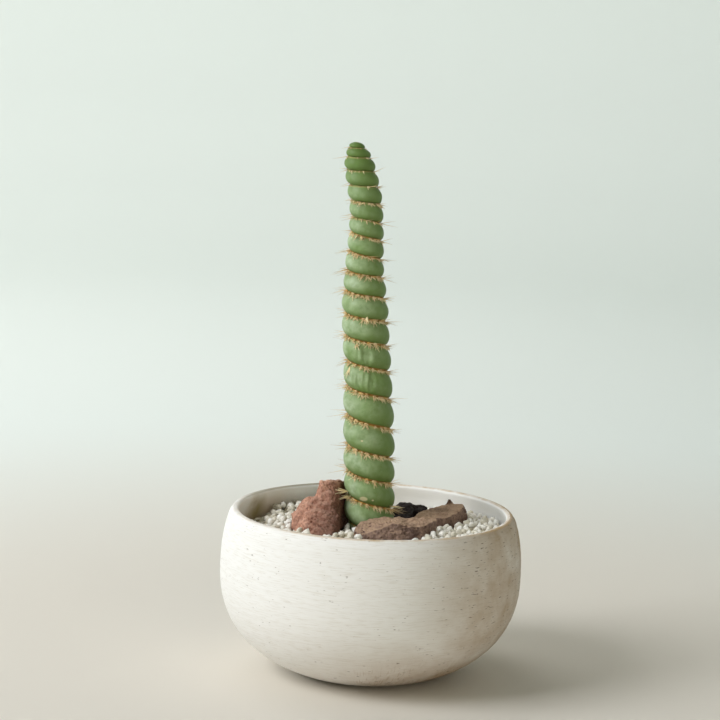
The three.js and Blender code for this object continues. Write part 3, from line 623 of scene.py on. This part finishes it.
def makeRock(name, rock, seed):
    form = bmesh.new()
    for corners in rock["blocks"]:
        block = bmesh.new()
        spots = [block.verts.new(Vector(corner) * mm) for corner in corners]
        hull = bmesh.ops.convex_hull(block, input=spots)
        loose = [v for v in hull["geom_interior"] if isinstance(v, bmesh.types.BMVert)]
        bmesh.ops.delete(block, geom=loose, context="VERTS")
        bmesh.ops.recalc_face_normals(block, faces=block.faces)
        part = bpy.data.meshes.new("block")
        block.to_mesh(part)
        block.free()
        form.from_mesh(part)
    mesh = bpy.data.meshes.new(name)
    form.to_mesh(mesh)
    form.free()
    rough = bpy.data.objects.new(name + "_block", mesh)
    scene.collection.objects.link(rough)
    remesh = rough.modifiers.new("Voxels", "REMESH")
    remesh.mode = "VOXEL"
    remesh.voxel_size = rockFinish["voxel"] * mm
    corners = rough.modifiers.new("Corners", "SMOOTH")
    corners.iterations = rockFinish["cornerPasses"]
    corners.factor = 0.5
    bakeModifiers(rough)
    piece = growPiece(name + "_stone", weathered, {"Lumps": rock["lumps"], "Chips": rock["chips"],
                                                   "Pits": rock["pits"], "Seed": seed * 0.37}, rough.data)
    bpy.data.objects.remove(rough)
    piece.data.materials.clear()
    piece.data.materials.append(lavaMaterials[rock["material"]])
    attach(piece, "root")
    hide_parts(name)
    return piece


rockPieces = [makeRock(name, rock, seed) for seed, (name, rock) in enumerate(rocks.items())]
print("rocks ready")

# Stem

# laws of the coil against the number of turns below the tip, in mm; the stem's line goes by height
laws = {
    "height": [(-1, 390.4), (0, 388.3), (1, 384.3), (2, 378.5), (3, 369.6), (4, 359.2), (5, 347.9),
               (6, 335.3), (7, 323.4), (8, 310.1), (9, 296.3), (10, 282.2), (11, 265.8), (12, 249.1),
               (13, 231.2), (14, 212.2), (15, 191.1), (16, 169.1), (17, 149.5), (18, 131.3), (19, 112),
               (21, 76), (22.5, 56)],
    "tilt": [(-1, 0.08), (0, 0.1), (3, 0.2), (5, 0.16), (7, 0), (10, 0.09), (13, 0.03), (16, 0), (18, -0.03),
             (22.5, 0)],
    "ribRadius": [(-1, 3), (0.5, 4.5), (1.5, 7), (2.5, 10), (4, 11.4), (6.5, 12.4), (9.3, 14.5), (10.8, 16.6),
                  (13, 17.3), (15.5, 18.7), (18, 18.5), (19.1, 18.3), (19.6, 15.4), (22.5, 12.4)],
    "lineX": [(60, -1), (110, -1.9), (145, -3.6), (185, -5.5), (225, -8), (262, -11), (295, -12.8),
              (325, -12.5), (345, -13.7), (365, -17.8), (390, -23.4)],
    "lineY": [(60, 0), (240, 2.5), (390, -2)],
}
coil = {"Turns": 22, "Columns": 120, "Rows in a turn": 22, "Groove depth": 0.3, "Rib fullness": 0.58,
        "Rib droop": 1.15, "Overhang": 0.1, "Unevenness": 0.9, "Wrinkles": 1.0, "Tip cap from": 0.4,
        "Foot cap from": 21.5}
lowTurn, firstTurn, grooveEnds, highTurn = -1, -0.6, 19.3, 22.5
lawSteps = 60
wrinkledSpots = [(-10, -15, 235), (-16, -14, 215), (-7, -15, 218)]  # where the skin has folded, in mm


# gives a point of the coil from an angle, the turns below the tip and a share of the rib's radius
def coilPointGroup():
    tree, add = newTree("coil point", {"Angle": 0.0, "Turns down": 0.0, "Share": 1.0, "Beyond": 0.0},
                        {"Position": "NodeSocketVector", "Pitch": "NodeSocketFloat",
                         "Tilt": "NodeSocketFloat"})
    given = add("NodeGroupInput").outputs
    height = smoothThrough(laws["height"])
    readings = {}
    for title in [*laws, "pitch"]:
        if title == "pitch":
            read = lambda m: height(max(m - 0.5, lowTurn)) - height(min(m + 0.5, highTurn))
        elif title.startswith("line"):
            read = lambda m, law=smoothThrough(laws[title]): law(height(m))
        else:
            read = smoothThrough(laws[title])
        spots = [lowTurn + (highTurn - lowTurn) * k / lawSteps for k in range(lawSteps + 1)]
        values = [read(m) for m in spots]
        low, high = min(values), max(values)
        where = add("MapRange", [given["Turns down"], lowTurn, highTurn])
        curveNode = add("FloatCurve", {"Value": where})
        curve = curveNode.mapping.curves[0]
        for k, value in enumerate(values):
            spot = (k / lawSteps, (value - low) / (high - low))
            if k in (0, lawSteps):
                curve.points[0 if k == 0 else -1].location = spot
            else:
                curve.points.new(*spot)
        curveNode.mapping.update()
        readings[title] = add("MapRange", [curveNode, 0.0, 1.0, low, high])
    radius = add("Math", [readings["ribRadius"], given["Share"], given["Beyond"]], operation="MULTIPLY_ADD")
    cosine = add("Math", [given["Angle"]], operation="COSINE")
    sine = add("Math", [given["Angle"]], operation="SINE")
    aside = add("Math", [radius, cosine], operation="MULTIPLY")
    x = add("Math", [readings["lineX"], aside])
    y = add("Math", [radius, sine, readings["lineY"]], operation="MULTIPLY_ADD")
    z = add("Math", [aside, readings["tilt"], readings["height"]], operation="MULTIPLY_ADD")
    point = add("CombineXYZ", [x, y, z])
    inMetres = add("VectorMath", {0: point, "Scale": mm}, operation="SCALE")
    add("NodeGroupOutput", {"Position": inMetres, "Pitch": readings["pitch"], "Tilt": readings["tilt"]})
    return tree


coilPoint = coilPointGroup()


# The rib is a grid wrapped round the stem: a column goes down the stem, a row round it. Its right edge meets
# its left edge one turn lower, which is what makes it a coil.
def stemTree():
    tree, add = newTree("coiled stem", coil)
    given = add("NodeGroupInput").outputs
    across = add("Math", [given["Columns"], 1.0])
    down = add("Math", [given["Turns"], given["Rows in a turn"], 1.0], operation="MULTIPLY_ADD")
    grid = add("MeshGrid", {"Size X": 1.0, "Size Y": 1.0, "Vertices X": across, "Vertices Y": down})
    flat = add("SeparateXYZ", [add("InputPosition")])
    column = add("Math", [flat.outputs["X"], 0.5 + firstTurn])
    row = add("Math", [flat.outputs["Y"], 0.5])
    row = add("Math", [row, given["Turns"]], operation="MULTIPLY")
    row = add("Math", [row, 0.0001])
    whole = add("Math", [row], operation="FLOOR")
    part = add("Math", [row], operation="FRACT")
    wave = add("Math", [part, 2 * math.pi], operation="MULTIPLY")
    wave = add("Math", [wave], operation="SINE")
    rib = add("Math", [wave, -0.11, part], operation="MULTIPLY_ADD")  # finer at grooves
    turns = add("Math", [column, whole])
    turns = add("Math", [turns, rib])
    angle = add("Math", [column, 2 * math.pi, math.pi], operation="MULTIPLY_ADD")
    # the rib's swell between two grooves: sin(pi f^droop)^fullness
    swell = add("Math", [rib, given["Rib droop"]], operation="POWER")
    swell = add("Math", [swell, math.pi], operation="MULTIPLY")
    swell = add("Math", [swell], operation="SINE")
    swell = add("Math", [swell, 0.0], operation="MAXIMUM")
    swell = add("Math", [swell, given["Rib fullness"]], operation="POWER")
    below = add("MapRange", [turns, grooveEnds, grooveEnds + 0.5, 1.0, 0.0])
    depth = add("Math", [given["Groove depth"], below], operation="MULTIPLY")
    missing = add("Math", [1.0, swell], operation="SUBTRACT")
    share = add("Math", [missing, depth], operation="MULTIPLY")
    share = add("Math", [1.0, share], operation="SUBTRACT")
    # both ends close in a round cap: the share runs out as sqrt(1 - (1 - q)^2.4)
    held = turns
    for edge, width in ((given["Tip cap from"], 0.55), (given["Foot cap from"], -0.5)):
        q = add("Math", [turns, edge], operation="SUBTRACT")
        q = add("Math", [q, width], operation="DIVIDE")
        q = add("Clamp", [q])
        for power in (2.4, 0.5):
            q = add("Math", [1.0, q], operation="SUBTRACT")
            q = add("Math", [q, power], operation="POWER")
        share = add("Math", [share, q], operation="MULTIPLY")
        held = add("Math", [held, edge], operation="MAXIMUM" if width > 0 else "MINIMUM")
    place = {"Angle": angle, "Turns down": held, "Share": share}
    point = add("Group", place, node_tree=coilPoint)
    # slow unevenness of the rib, and folds in the skin that run up and down
    lumps = add("TexNoise", {"Vector": point.outputs["Position"], "Scale": 75.0, "Detail": 1.5})
    lump = add("Math", [lumps.outputs[0], 0.5], operation="SUBTRACT")
    lump = add("Math", [lump, given["Unevenness"]], operation="MULTIPLY")
    foldSpace = add("VectorMath", [point.outputs["Position"], (460.0, 460.0, 60.0)], operation="MULTIPLY")
    folds = add("TexNoise", {"Vector": foldSpace, "Scale": 1.0, "Detail": 1.0})
    fold = add("MapRange", [folds.outputs[0], 0.42, 0.6, -1.0, 0.15], interpolation_type="SMOOTHSTEP")
    fold = add("Math", [fold, given["Wrinkles"]], operation="MULTIPLY")
    folded = None
    for spot in wrinkledSpots:
        apart = add("VectorMath", [point.outputs["Position"], [c * mm for c in spot]], operation="DISTANCE")
        near = add("MapRange", [apart.outputs["Value"], 0.01, 0.004], interpolation_type="SMOOTHSTEP")
        folded = add("Math", [folded, near], operation="MAXIMUM") if folded else near
    fold = add("Math", [fold, folded], operation="MULTIPLY")
    beyond = add("Math", [lump, fold])
    for amount in (share, swell):
        beyond = add("Math", [beyond, amount], operation="MULTIPLY")
    moved = add("Group", {**place, "Beyond": beyond}, node_tree=coilPoint)
    # the lower edge of the rib hangs over the groove
    hang = add("Math", [rib, 2.0], operation="POWER")
    for amount in (swell, moved.outputs["Pitch"], given["Overhang"], below, -mm):
        hang = add("Math", [hang, amount], operation="MULTIPLY")
    hang = add("CombineXYZ", {2: hang})
    placed = add("VectorMath", [moved.outputs["Position"], hang])
    shape = add("StoreNamedAttribute", {"Geometry": grid.outputs["Mesh"], "Name": "acrossRib", "Value": rib})
    shape = add("StoreNamedAttribute", {"Geometry": shape, "Name": "turnsDown", "Value": turns})
    shape = add("SetPosition", {"Geometry": shape, "Position": placed})
    shape = add("MergeByDistance", {"Geometry": shape, "Distance": 0.02 * mm})
    shape = add("FlipFaces", {"Mesh": shape})  # the wrapped grid comes out facing inwards
    shape = add("SetShadeSmooth", {"Geometry": shape})
    shape = add("RealizeInstances", {"Geometry": shape})
    shape = add("SetMaterial", {"Geometry": shape, "Material": skinMaterial})
    add("NodeGroupOutput", {"Geometry": shape})
    return tree


stem = growPiece("coiled_stem", stemTree(), coil)
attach(stem, "root")
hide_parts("stem")
print("stem ready:", len(stem.data.polygons), "faces")

# Areoles: pads of felt, matted hairs and spines along the groove

areoles = {"From turn": 1.05, "Areoles": 370, "Areoles in a turn": 21.0, "Below the groove": 0.035, "Seed": 4,
           "Spine length": 11.0, "Spine width": 0.44, "Spines each": 2,
           "Combed length": 3.9, "Combed each": 9, "Hair length": 2.0, "Hairs each": 13}
# bunches of stout pale spines at single areoles, in mm
bunches = {
    "leftFoot": {"place": (-18.3, -7.3, 134.3), "way": (-1, -0.6, 0.05), "onward": (-0.4, 0.9, 0),
                 "count": 18, "length": 8.5, "width": 1.0, "rise": (-0.2, 0.45), "spread": 0.2},
    "lowerLeftFoot": {"place": (-17.2, -6.7, 130.8), "way": (-1, -0.6, 0.0), "onward": (-0.4, 0.9, 0),
                      "count": 18, "length": 9.0, "width": 0.95, "rise": (-0.35, 0.2), "spread": 0.2},
    "rightFoot": {"place": (12.1, -6.6, 124.6), "way": (1, -0.5, 0.06), "onward": (0.4, 0.9, 0), "count": 8,
                  "length": 10.5, "width": 0.6, "rise": (-0.25, 0.1), "spread": 0.2},
    "upperFlat": {"place": (-9.4, -12.4, 262.8), "way": (0, -0.6, -1), "onward": (1, 0, 0), "count": 12,
                  "length": 5.0, "width": 1.3, "rise": (-0.2, 0.1), "spread": 0.55},
    "lowerFlat": {"place": (-16.0, -10.8, 242.9), "way": (-0.1, -0.9, -0.45), "onward": (1, -0.3, 0),
                  "count": 10, "length": 6.2, "width": 1.4, "rise": (-0.8, 0.5), "spread": 1.2},
    "sideFlat": {"place": (-20.3, -6.6, 225.5), "way": (-0.3, -0.5, -1), "onward": (1, -0.5, 0), "count": 9,
                 "length": 7.0, "width": 1.2, "rise": (-0.3, 0.1), "spread": 0.4},
}
# how much felt and how many spines there are, against the turns below the tip: few where the tip is young
feltByTurn = [(0, 0), (4.95, 0.05), (5.15, 0.6), (5.55, 0.6), (5.75, 0.1), (6.9, 0.1), (7.05, 0.6),
              (8.9, 0.6), (9.6, 1.0), (19, 1.0)]
spinesByTurn = [(0, 0.25), (4.9, 0.3), (5.2, 0.6), (5.8, 0.25), (6.9, 0.4), (9, 0.85), (19, 1.0)]


# Areoles sit along the groove, each with a felt pad, matted hairs, spines that fan out level, and short ones
# that lie combed over the band below.
def areoleTree():
    tree, add = newTree("areoles", {"Rocks": "NodeSocketGeometry", **areoles})
    given = add("NodeGroupInput").outputs
    index = add("InputIndex")
    shift = add("RandomValue", {"Min": -0.3, "Max": 0.3, "Seed": given["Seed"]})
    number = add("Math", [index, shift])
    number = add("Math", [number, given["Areoles in a turn"]], operation="DIVIDE")
    turns = add("Math", [number, given["From turn"]])
    angle = add("Math", [turns, 2 * math.pi, math.pi], operation="MULTIPLY_ADD")
    amounts = []
    for points in (feltByTurn, spinesByTurn):
        curveNode = add("FloatCurve", {"Value": add("MapRange", [turns, 0.0, 19.0])})
        curve = curveNode.mapping.curves[0]
        curve.points[0].location = (0, points[0][1])
        curve.points[-1].location = (1, points[-1][1])
        for spot, amount in points[1:-1]:
            curve.points.new(spot / 19, amount).handle_type = "VECTOR"
        curveNode.mapping.update()
        amounts.append(curveNode)
    spots = {}
    for title, step in (("here", 0.0), ("next", 0.02)):
        nearby = add("Math", [turns, step])
        nearby = add("Math", [nearby, given["Below the groove"]])
        turned = add("Math", [angle, step * 2 * math.pi])
        spots[title] = add("Group", {"Angle": turned, "Turns down": nearby, "Share": 0.8, "Beyond": 0.2},
                           node_tree=coilPoint)
    points = add("Points", {"Count": given["Areoles"], "Position": spots["here"].outputs["Position"]})
    cosine = add("Math", [angle], operation="COSINE")
    sine = add("Math", [angle], operation="SINE")
    rise = add("Math", [cosine, spots["here"].outputs["Tilt"]], operation="MULTIPLY")
    outward = add("CombineXYZ", [cosine, sine, rise])
    onward = add("VectorMath", [spots["next"].outputs["Position"], spots["here"].outputs["Position"]],
                 operation="SUBTRACT")
    onward = add("VectorMath", [onward], operation="NORMALIZE")
    grown = add("MapRange", [turns, 0.5, 9.0, 0.6])
    vigour = add("RandomValue", {"Min": 0.65, "Max": 1.3, "Seed": 9})
    grown = add("Math", [grown, vigour], operation="MULTIPLY")
    read = {}
    for title, kind, value in (("outward", "FLOAT_VECTOR", outward), ("onward", "FLOAT_VECTOR", onward),
                               ("grown", "FLOAT", grown), ("felt", "FLOAT", amounts[0]),
                               ("spiny", "FLOAT", amounts[1])):
        points = add("StoreNamedAttribute", {"Geometry": points, "Name": title, "Value": value},
                     data_type=kind)
        read[title] = add("InputNamedAttribute", {"Name": title}, data_type=kind).outputs[0]
    groups = []

    # felt pads, longer along the groove than they are high
    pad = add("MeshIcoSphere", {"Radius": 0.001, "Subdivisions": 2})
    rough = add("TexNoise", {"Scale": 1400.0, "Detail": 1.0})
    rough = add("VectorMath", [rough.outputs[1], (0.5, 0.5, 0.5)], operation="SUBTRACT")
    rough = add("VectorMath", {0: rough, "Scale": 0.0012}, operation="SCALE")
    pad = add("SetPosition", {"Geometry": pad.outputs["Mesh"], "Offset": rough})
    facing = add("AlignRotationToVector", {"Vector": read["outward"]}, axis="Z")
    facing = add("AlignRotationToVector", {"Rotation": facing, "Vector": read["onward"]}, axis="X",
                 pivot_axis="Z")
    padSize = add("RandomValue", {"Min": (0.7, 0.5, 0.4), "Max": (1.7, 1.1, 0.8), "Seed": 11},
                  data_type="FLOAT_VECTOR")
    padGrowth = add("Math", [read["grown"], read["felt"]], operation="MULTIPLY")
    padSize = add("VectorMath", {0: padSize, "Scale": padGrowth}, operation="SCALE")
    bare = add("Math", [read["felt"], 0.2], operation="LESS_THAN")
    felted = add("DeleteGeometry", {"Geometry": points, "Selection": bare})
    pads = add("InstanceOnPoints", {"Points": felted, "Instance": pad, "Rotation": facing, "Scale": padSize})
    padTint = add("RandomValue", {"Min": 0.0, "Max": 0.8, "Seed": 12})
    pads = add("StoreNamedAttribute", {"Geometry": pads, "Name": "tint", "Value": padTint}, domain="INSTANCE")
    pads = add("RealizeInstances", {"Geometry": pads})
    pads = add("SetShadeSmooth", {"Geometry": pads})
    groups.append(add("SetMaterial", {"Geometry": pads, "Material": feltMaterial}))

    # needles: points they grow from, number, length, width, share of it at the tip, sides, rows, least and
    # most rise, spread sideways, bend, least and most tint, share kept, seed, material
    kinds = {
        "fan": (points, given["Spines each"], given["Spine length"], given["Spine width"], 0.1, 5, 3, -0.32,
                0.26, 0.6, 0.08, 0.1, 0.65, read["spiny"], 21, spineMaterial),
        "combed": (points, given["Combed each"], given["Combed length"], 0.82, 0.25, 4, 3, -1.7, -0.3, 1.2,
                   0.25, 0.55, 1.0, read["felt"], 31, spineMaterial),
        "hair": (points, given["Hairs each"], given["Hair length"], 0.5, 0.15, 3, 2, -1.8, 0.4, 1.8, 0.35,
                 0.5, 1.0, read["felt"], 41, feltMaterial),
    }
    for name, bunch in bunches.items():
        spot = add("Points", {"Count": 1, "Position": [c * mm for c in bunch["place"]]})
        for title, kind, value in (("outward", "FLOAT_VECTOR", bunch["way"]),
                                   ("onward", "FLOAT_VECTOR", bunch["onward"]), ("grown", "FLOAT", 1.0)):
            spot = add("StoreNamedAttribute", {"Geometry": spot, "Name": title, "Value": value},
                       data_type=kind)
        kinds[name] = (spot, bunch["count"], bunch["length"], bunch["width"], 0.25, 4, 3, *bunch["rise"],
                       bunch["spread"], 0.1, 0.8, 1.0, 1.0, 61 + 10 * len(kinds), spineMaterial)
    for (source, number, length, width, tip, sides, rows, least, most, spread, curve, dull, pale, kept, seed,
         material) in kinds.values():
        many = add("DuplicateElements", {"Geometry": source, "Amount": number})
        luck = add("RandomValue", {"Min": 0.0, "Max": 1.0, "Seed": seed + 5})
        missing = add("Math", [luck, kept], operation="GREATER_THAN")
        rises = add("RandomValue", {"Min": least, "Max": most, "Seed": seed})
        sways = add("RandomValue", {"Min": -spread, "Max": spread, "Seed": seed + 1})
        lengths = add("RandomValue", {"Min": 0.5, "Max": 1.2, "Seed": seed + 2})
        tints = add("RandomValue", {"Min": dull, "Max": pale, "Seed": seed + 3})
        sideways = add("VectorMath", {0: read["onward"], "Scale": sways}, operation="SCALE")
        upright = add("CombineXYZ", {2: rises})
        way = add("VectorMath", [read["outward"], sideways])
        way = add("VectorMath", [way, upright])
        # none grows into a stone
        clear = add("Math", [length, mm * 1.25], operation="MULTIPLY")
        ahead = add("Raycast", {"Target Geometry": given["Rocks"], "Ray Direction": way, "Ray Length": clear})
        missing = add("Math", [missing, ahead.outputs["Is Hit"]], operation="MAXIMUM")
        for title, kind, value in (("way", "FLOAT_VECTOR", way), ("reach", "FLOAT", lengths),
                                   ("tint", "FLOAT", tints), ("missing", "FLOAT", missing)):
            many = add("StoreNamedAttribute", {"Geometry": many, "Name": title, "Value": value},
                       data_type=kind)
        gone = add("InputNamedAttribute", {"Name": "missing"}).outputs[0]
        gone = add("Math", [gone, 0.5], operation="GREATER_THAN")
        many = add("DeleteGeometry", {"Geometry": many, "Selection": gone})
        needle = add("MeshCone", {"Vertices": sides, "Side Segments": rows, "Radius Top": tip / 2,
                                  "Radius Bottom": 0.5, "Depth": 1.0}, fill_type="NGON")
        height = add("SeparateXYZ", [add("InputPosition")]).outputs["Z"]
        needle = add("StoreNamedAttribute", {"Geometry": needle, "Name": "along", "Value": height})
        wayRead = add("InputNamedAttribute", {"Name": "way"}, data_type="FLOAT_VECTOR")
        reach = add("InputNamedAttribute", {"Name": "reach"})
        pointing = add("AlignRotationToVector", {"Vector": wayRead.outputs[0]}, axis="Z")
        long = add("Math", [reach.outputs[0], length], operation="MULTIPLY")
        long = add("Math", [long, read["grown"]], operation="MULTIPLY")
        size = add("CombineXYZ", [width, width, long])
        size = add("VectorMath", {0: size, "Scale": mm}, operation="SCALE")
        needles = add("InstanceOnPoints", {"Points": many, "Instance": needle, "Rotation": pointing,
                                           "Scale": size})
        bends = add("RandomValue", {"Min": (-1, -1, -1), "Max": (1, 1, 0.6), "Seed": seed + 4},
                    data_type="FLOAT_VECTOR")
        bends = add("VectorMath", {0: bends, "Scale": long}, operation="SCALE")
        needles = add("StoreNamedAttribute", {"Geometry": needles, "Name": "bend", "Value": bends},
                      data_type="FLOAT_VECTOR", domain="INSTANCE")
        needles = add("RealizeInstances", {"Geometry": needles})
        along = add("InputNamedAttribute", {"Name": "along"}).outputs[0]
        bend = add("InputNamedAttribute", {"Name": "bend"}, data_type="FLOAT_VECTOR").outputs[0]
        squared = add("Math", [along, 2.0], operation="POWER")
        amount = add("Math", [squared, curve * mm], operation="MULTIPLY")
        offset = add("VectorMath", {0: bend, "Scale": amount}, operation="SCALE")
        needles = add("SetPosition", {"Geometry": needles, "Offset": offset})
        needles = add("SetShadeSmooth", {"Geometry": needles})
        groups.append(add("SetMaterial", {"Geometry": needles, "Material": material}))
    joined = add("JoinGeometry", {"Geometry": groups})
    joined = add("RealizeInstances", {"Geometry": joined})
    add("NodeGroupOutput", {"Geometry": joined})
    return tree


spines = growPiece("areole_felt_and_spines", areoleTree(), areoles, joinedMesh("rocks_near_by", rockPieces))
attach(spines, "root")
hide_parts("areoles_and_spines")
print("areoles ready:", len(spines.data.polygons), "faces")

# Pumice top dressing

pumice = {"Edge height": 107.4, "Middle height": 110.2, "Rise to the right": 0.026, "Dip at the left": 0.8,
          "Dip in front": 0.13, "Piles": 2.6, "Dip at the back": 0.08, "Lowest": 98.4, "Reach": 98.8,
          "Grain": 5.2, "Spacing": 3.8, "Seed": 5, "Stem clearance": 20.0}
pumicePiles = [(-18, -46, 0), (-52, -44, 0), (44, -40, 0), (-60, 70, 0)]  # where the grains lie higher, in mm
stemFoot = (-1.9, 0.3, 0.0)  # where the stem stands in the pumice, in mm


# Grains are scattered over a low mound in three layers, each grain one of eight crushed shapes.
def pumiceTree():
    tree, add = newTree("pumice grains", {"Geometry": "NodeSocketGeometry", "Rocks": "NodeSocketObject",
                                          **pumice})
    given = add("NodeGroupInput").outputs
    reach = add("Math", [given["Reach"], mm], operation="MULTIPLY")
    disc = add("MeshCircle", {"Vertices": 96, "Radius": reach}, fill_type="TRIANGLE_FAN")
    stones = []
    for k in range(8):
        stone = add("MeshIcoSphere", {"Radius": 0.0005, "Subdivisions": 2})
        offset = add("VectorMath", [add("InputPosition"), (k * 0.01, 0, 0)])
        noise = add("TexNoise", {"Vector": offset, "Scale": 1700.0, "Detail": 0.0})
        knock = add("VectorMath", [noise.outputs[1], (0.5, 0.5, 0.5)], operation="SUBTRACT")
        knock = add("VectorMath", {0: knock, "Scale": 0.00085}, operation="SCALE")
        stone = add("SetPosition", {"Geometry": stone.outputs["Mesh"], "Offset": knock})
        stones.append(add("ConvexHull", {"Geometry": stone}))
    choice = add("GeometryToInstance", {"Geometry": stones})
    allRocks = add("ObjectInfo", {"Object": given["Rocks"]}).outputs["Geometry"]
    layers = []
    # painted shade: each layer down gets darker tints, so the grains seen deep in the gaps look shaded
    for depth, seed, apart, unshadedShare in ((0.0, 0, 1.14, 1.0), (2.3, 1, 1.05, 0.5), (4.2, 2, 1.0, 0.1)):
        spacing = add("Math", [given["Spacing"], apart * mm], operation="MULTIPLY")
        pick = add("Math", [given["Seed"], float(seed)])
        points = add("DistributePointsOnFaces", {"Mesh": disc.outputs["Mesh"], "Distance Min": spacing,
                                                 "Density Max": 90000.0, "Seed": pick},
                     distribute_method="POISSON")
        position = add("InputPosition")
        place = add("SeparateXYZ", [position])
        outShare = add("VectorMath", [position], operation="LENGTH")
        outShare = add("Math", [outShare.outputs["Value"], reach], operation="DIVIDE")
        outShare = add("Math", [outShare, 2.0], operation="POWER")
        surface = add("MapRange", [outShare, 0.0, 1.0, given["Middle height"], given["Edge height"]])
        slope = add("Math", [given["Rise to the right"], 1 / mm], operation="MULTIPLY")
        surface = add("Math", [place.outputs["X"], slope, surface], operation="MULTIPLY_ADD")
        for axis, start, dip, most in (("X", 76, "Dip at the left", 8.0), ("Y", 34, "Dip in front", 3.2)):
            past = add("Math", [place.outputs[axis], -1 / mm, -start], operation="MULTIPLY_ADD")
            past = add("Math", [past, 0.0], operation="MAXIMUM")
            past = add("Math", [past, given[dip]], operation="MULTIPLY")
            past = add("Math", [past, most], operation="MINIMUM")
            surface = add("Math", [surface, past], operation="SUBTRACT")
        for spot in pumicePiles:
            fromPile = add("VectorMath", [position, [c * mm for c in spot]], operation="DISTANCE")
            pile = add("MapRange", [fromPile.outputs["Value"], 0.022, 0.008, 0.0, given["Piles"]],
                       interpolation_type="SMOOTHSTEP")
            surface = add("Math", [surface, pile])
        back = add("MapRange", [place.outputs["Y"], 0.03, 0.085])
        toRight = add("MapRange", [place.outputs["X"], -0.03, 0.01])
        for amount in (toRight, given["Dip at the back"], 55.0):
            back = add("Math", [back, amount], operation="MULTIPLY")
        surface = add("Math", [surface, back], operation="SUBTRACT")
        lift = add("RandomValue", {"Min": -3.2 - depth, "Max": -0.8 - depth, "Seed": 50 + seed})
        height = add("Math", [surface, lift])
        height = add("Math", [height, given["Lowest"]], operation="MAXIMUM")
        height = add("Math", [height, mm], operation="MULTIPLY")
        spot = add("CombineXYZ", [place.outputs["X"], place.outputs["Y"], height])
        raised = add("SetPosition", {"Geometry": points.outputs["Points"], "Position": spot})
        near = add("Proximity", [allRocks], target_element="FACES")
        touching = add("Math", [near.outputs["Distance"], 1.8 * mm], operation="LESS_THAN")
        under = add("Raycast", {"Target Geometry": allRocks, "Ray Direction": (0.0, 0.0, 1.0),
                                "Ray Length": 0.06})
        toStem = add("VectorMath", [position, [c * mm for c in stemFoot]], operation="SUBTRACT")
        toStem = add("VectorMath", [toStem, (1.0, 1.0, 0.0)], operation="MULTIPLY")
        toStem = add("VectorMath", [toStem], operation="LENGTH")
        clearance = add("Math", [given["Stem clearance"], mm], operation="MULTIPLY")
        inStem = add("Math", [toStem.outputs["Value"], clearance], operation="LESS_THAN")
        blocked = add("Math", [touching, under.outputs["Is Hit"]], operation="MAXIMUM")
        blocked = add("Math", [blocked, inStem], operation="MAXIMUM")
        kept = add("DeleteGeometry", {"Geometry": raised, "Selection": blocked})
        rolls = add("RandomValue", {"Min": (0, 0, 0), "Max": (6.28, 6.28, 6.28), "Seed": 60 + seed},
                    data_type="FLOAT_VECTOR")
        sizes = add("RandomValue", {"Min": (0.75, 0.7, 0.66), "Max": (1.2, 1.02, 0.98), "Seed": 70 + seed},
                    data_type="FLOAT_VECTOR")
        sizes = add("VectorMath", {0: sizes, "Scale": given["Grain"]}, operation="SCALE")
        which = add("RandomValue", {"Min": 0, "Max": 7, "Seed": 80 + seed}, data_type="INT")
        tints = add("RandomValue", {"Min": 0.3 * unshadedShare, "Max": unshadedShare, "Seed": 90 + seed})
        grains = add("InstanceOnPoints", {"Points": kept, "Instance": choice, "Pick Instance": True,
                                          "Instance Index": which, "Rotation": rolls, "Scale": sizes})
        layers.append(add("StoreNamedAttribute", {"Geometry": grains, "Name": "tint", "Value": tints},
                          domain="INSTANCE"))
    grains = add("JoinGeometry", {"Geometry": layers})
    grains = add("RealizeInstances", {"Geometry": grains})
    grains = add("SetShadeSmooth", {"Geometry": grains})
    joined = add("JoinGeometry", {"Geometry": grains})
    tree.links.new(given["Geometry"], joined.inputs[0])
    joined = add("RealizeInstances", {"Geometry": joined})
    joined = add("SetMaterial", {"Geometry": joined, "Material": pumiceMaterial})
    add("NodeGroupOutput", {"Geometry": joined})
    return tree


def roundTheStem(angle, radius, height):
    return stemFoot[0] * math.cos(angle) + stemFoot[1] * math.sin(angle) if radius < 25 else 0


# the solid layer under the grains, with a hole for the stem; it carries no tint, so it shows the darkest
# pumice colour as painted shade in the gaps
layer = [(19.0, 96.4), (bowlInside(96.4) - 0.4, 96.4), (bowlInside(98.4) - 0.5, 98.4), (70, 99.6),
         (19.0, 102.6)]
rocksNearBy = bpy.data.objects.new("rocks_near_by", joinedMesh("rocks_near_by", rockPieces))
scene.collection.objects.link(rocksNearBy)
dressing = growPiece("pumice_grains", pumiceTree(), {**pumice, "Rocks": rocksNearBy},
                     turnedMesh("pumice_grains", layer, 72, closed=True, ripple=roundTheStem))
bpy.data.objects.remove(rocksNearBy)
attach(dressing, "root")
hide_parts("pumice_dressing")
print("pumice ready:", len(dressing.data.polygons), "faces")

for piece in (stem, spines, dressing, *rockPieces):
    print(piece.name, sum(len(p.vertices) - 2 for p in piece.data.polygons), "triangles")
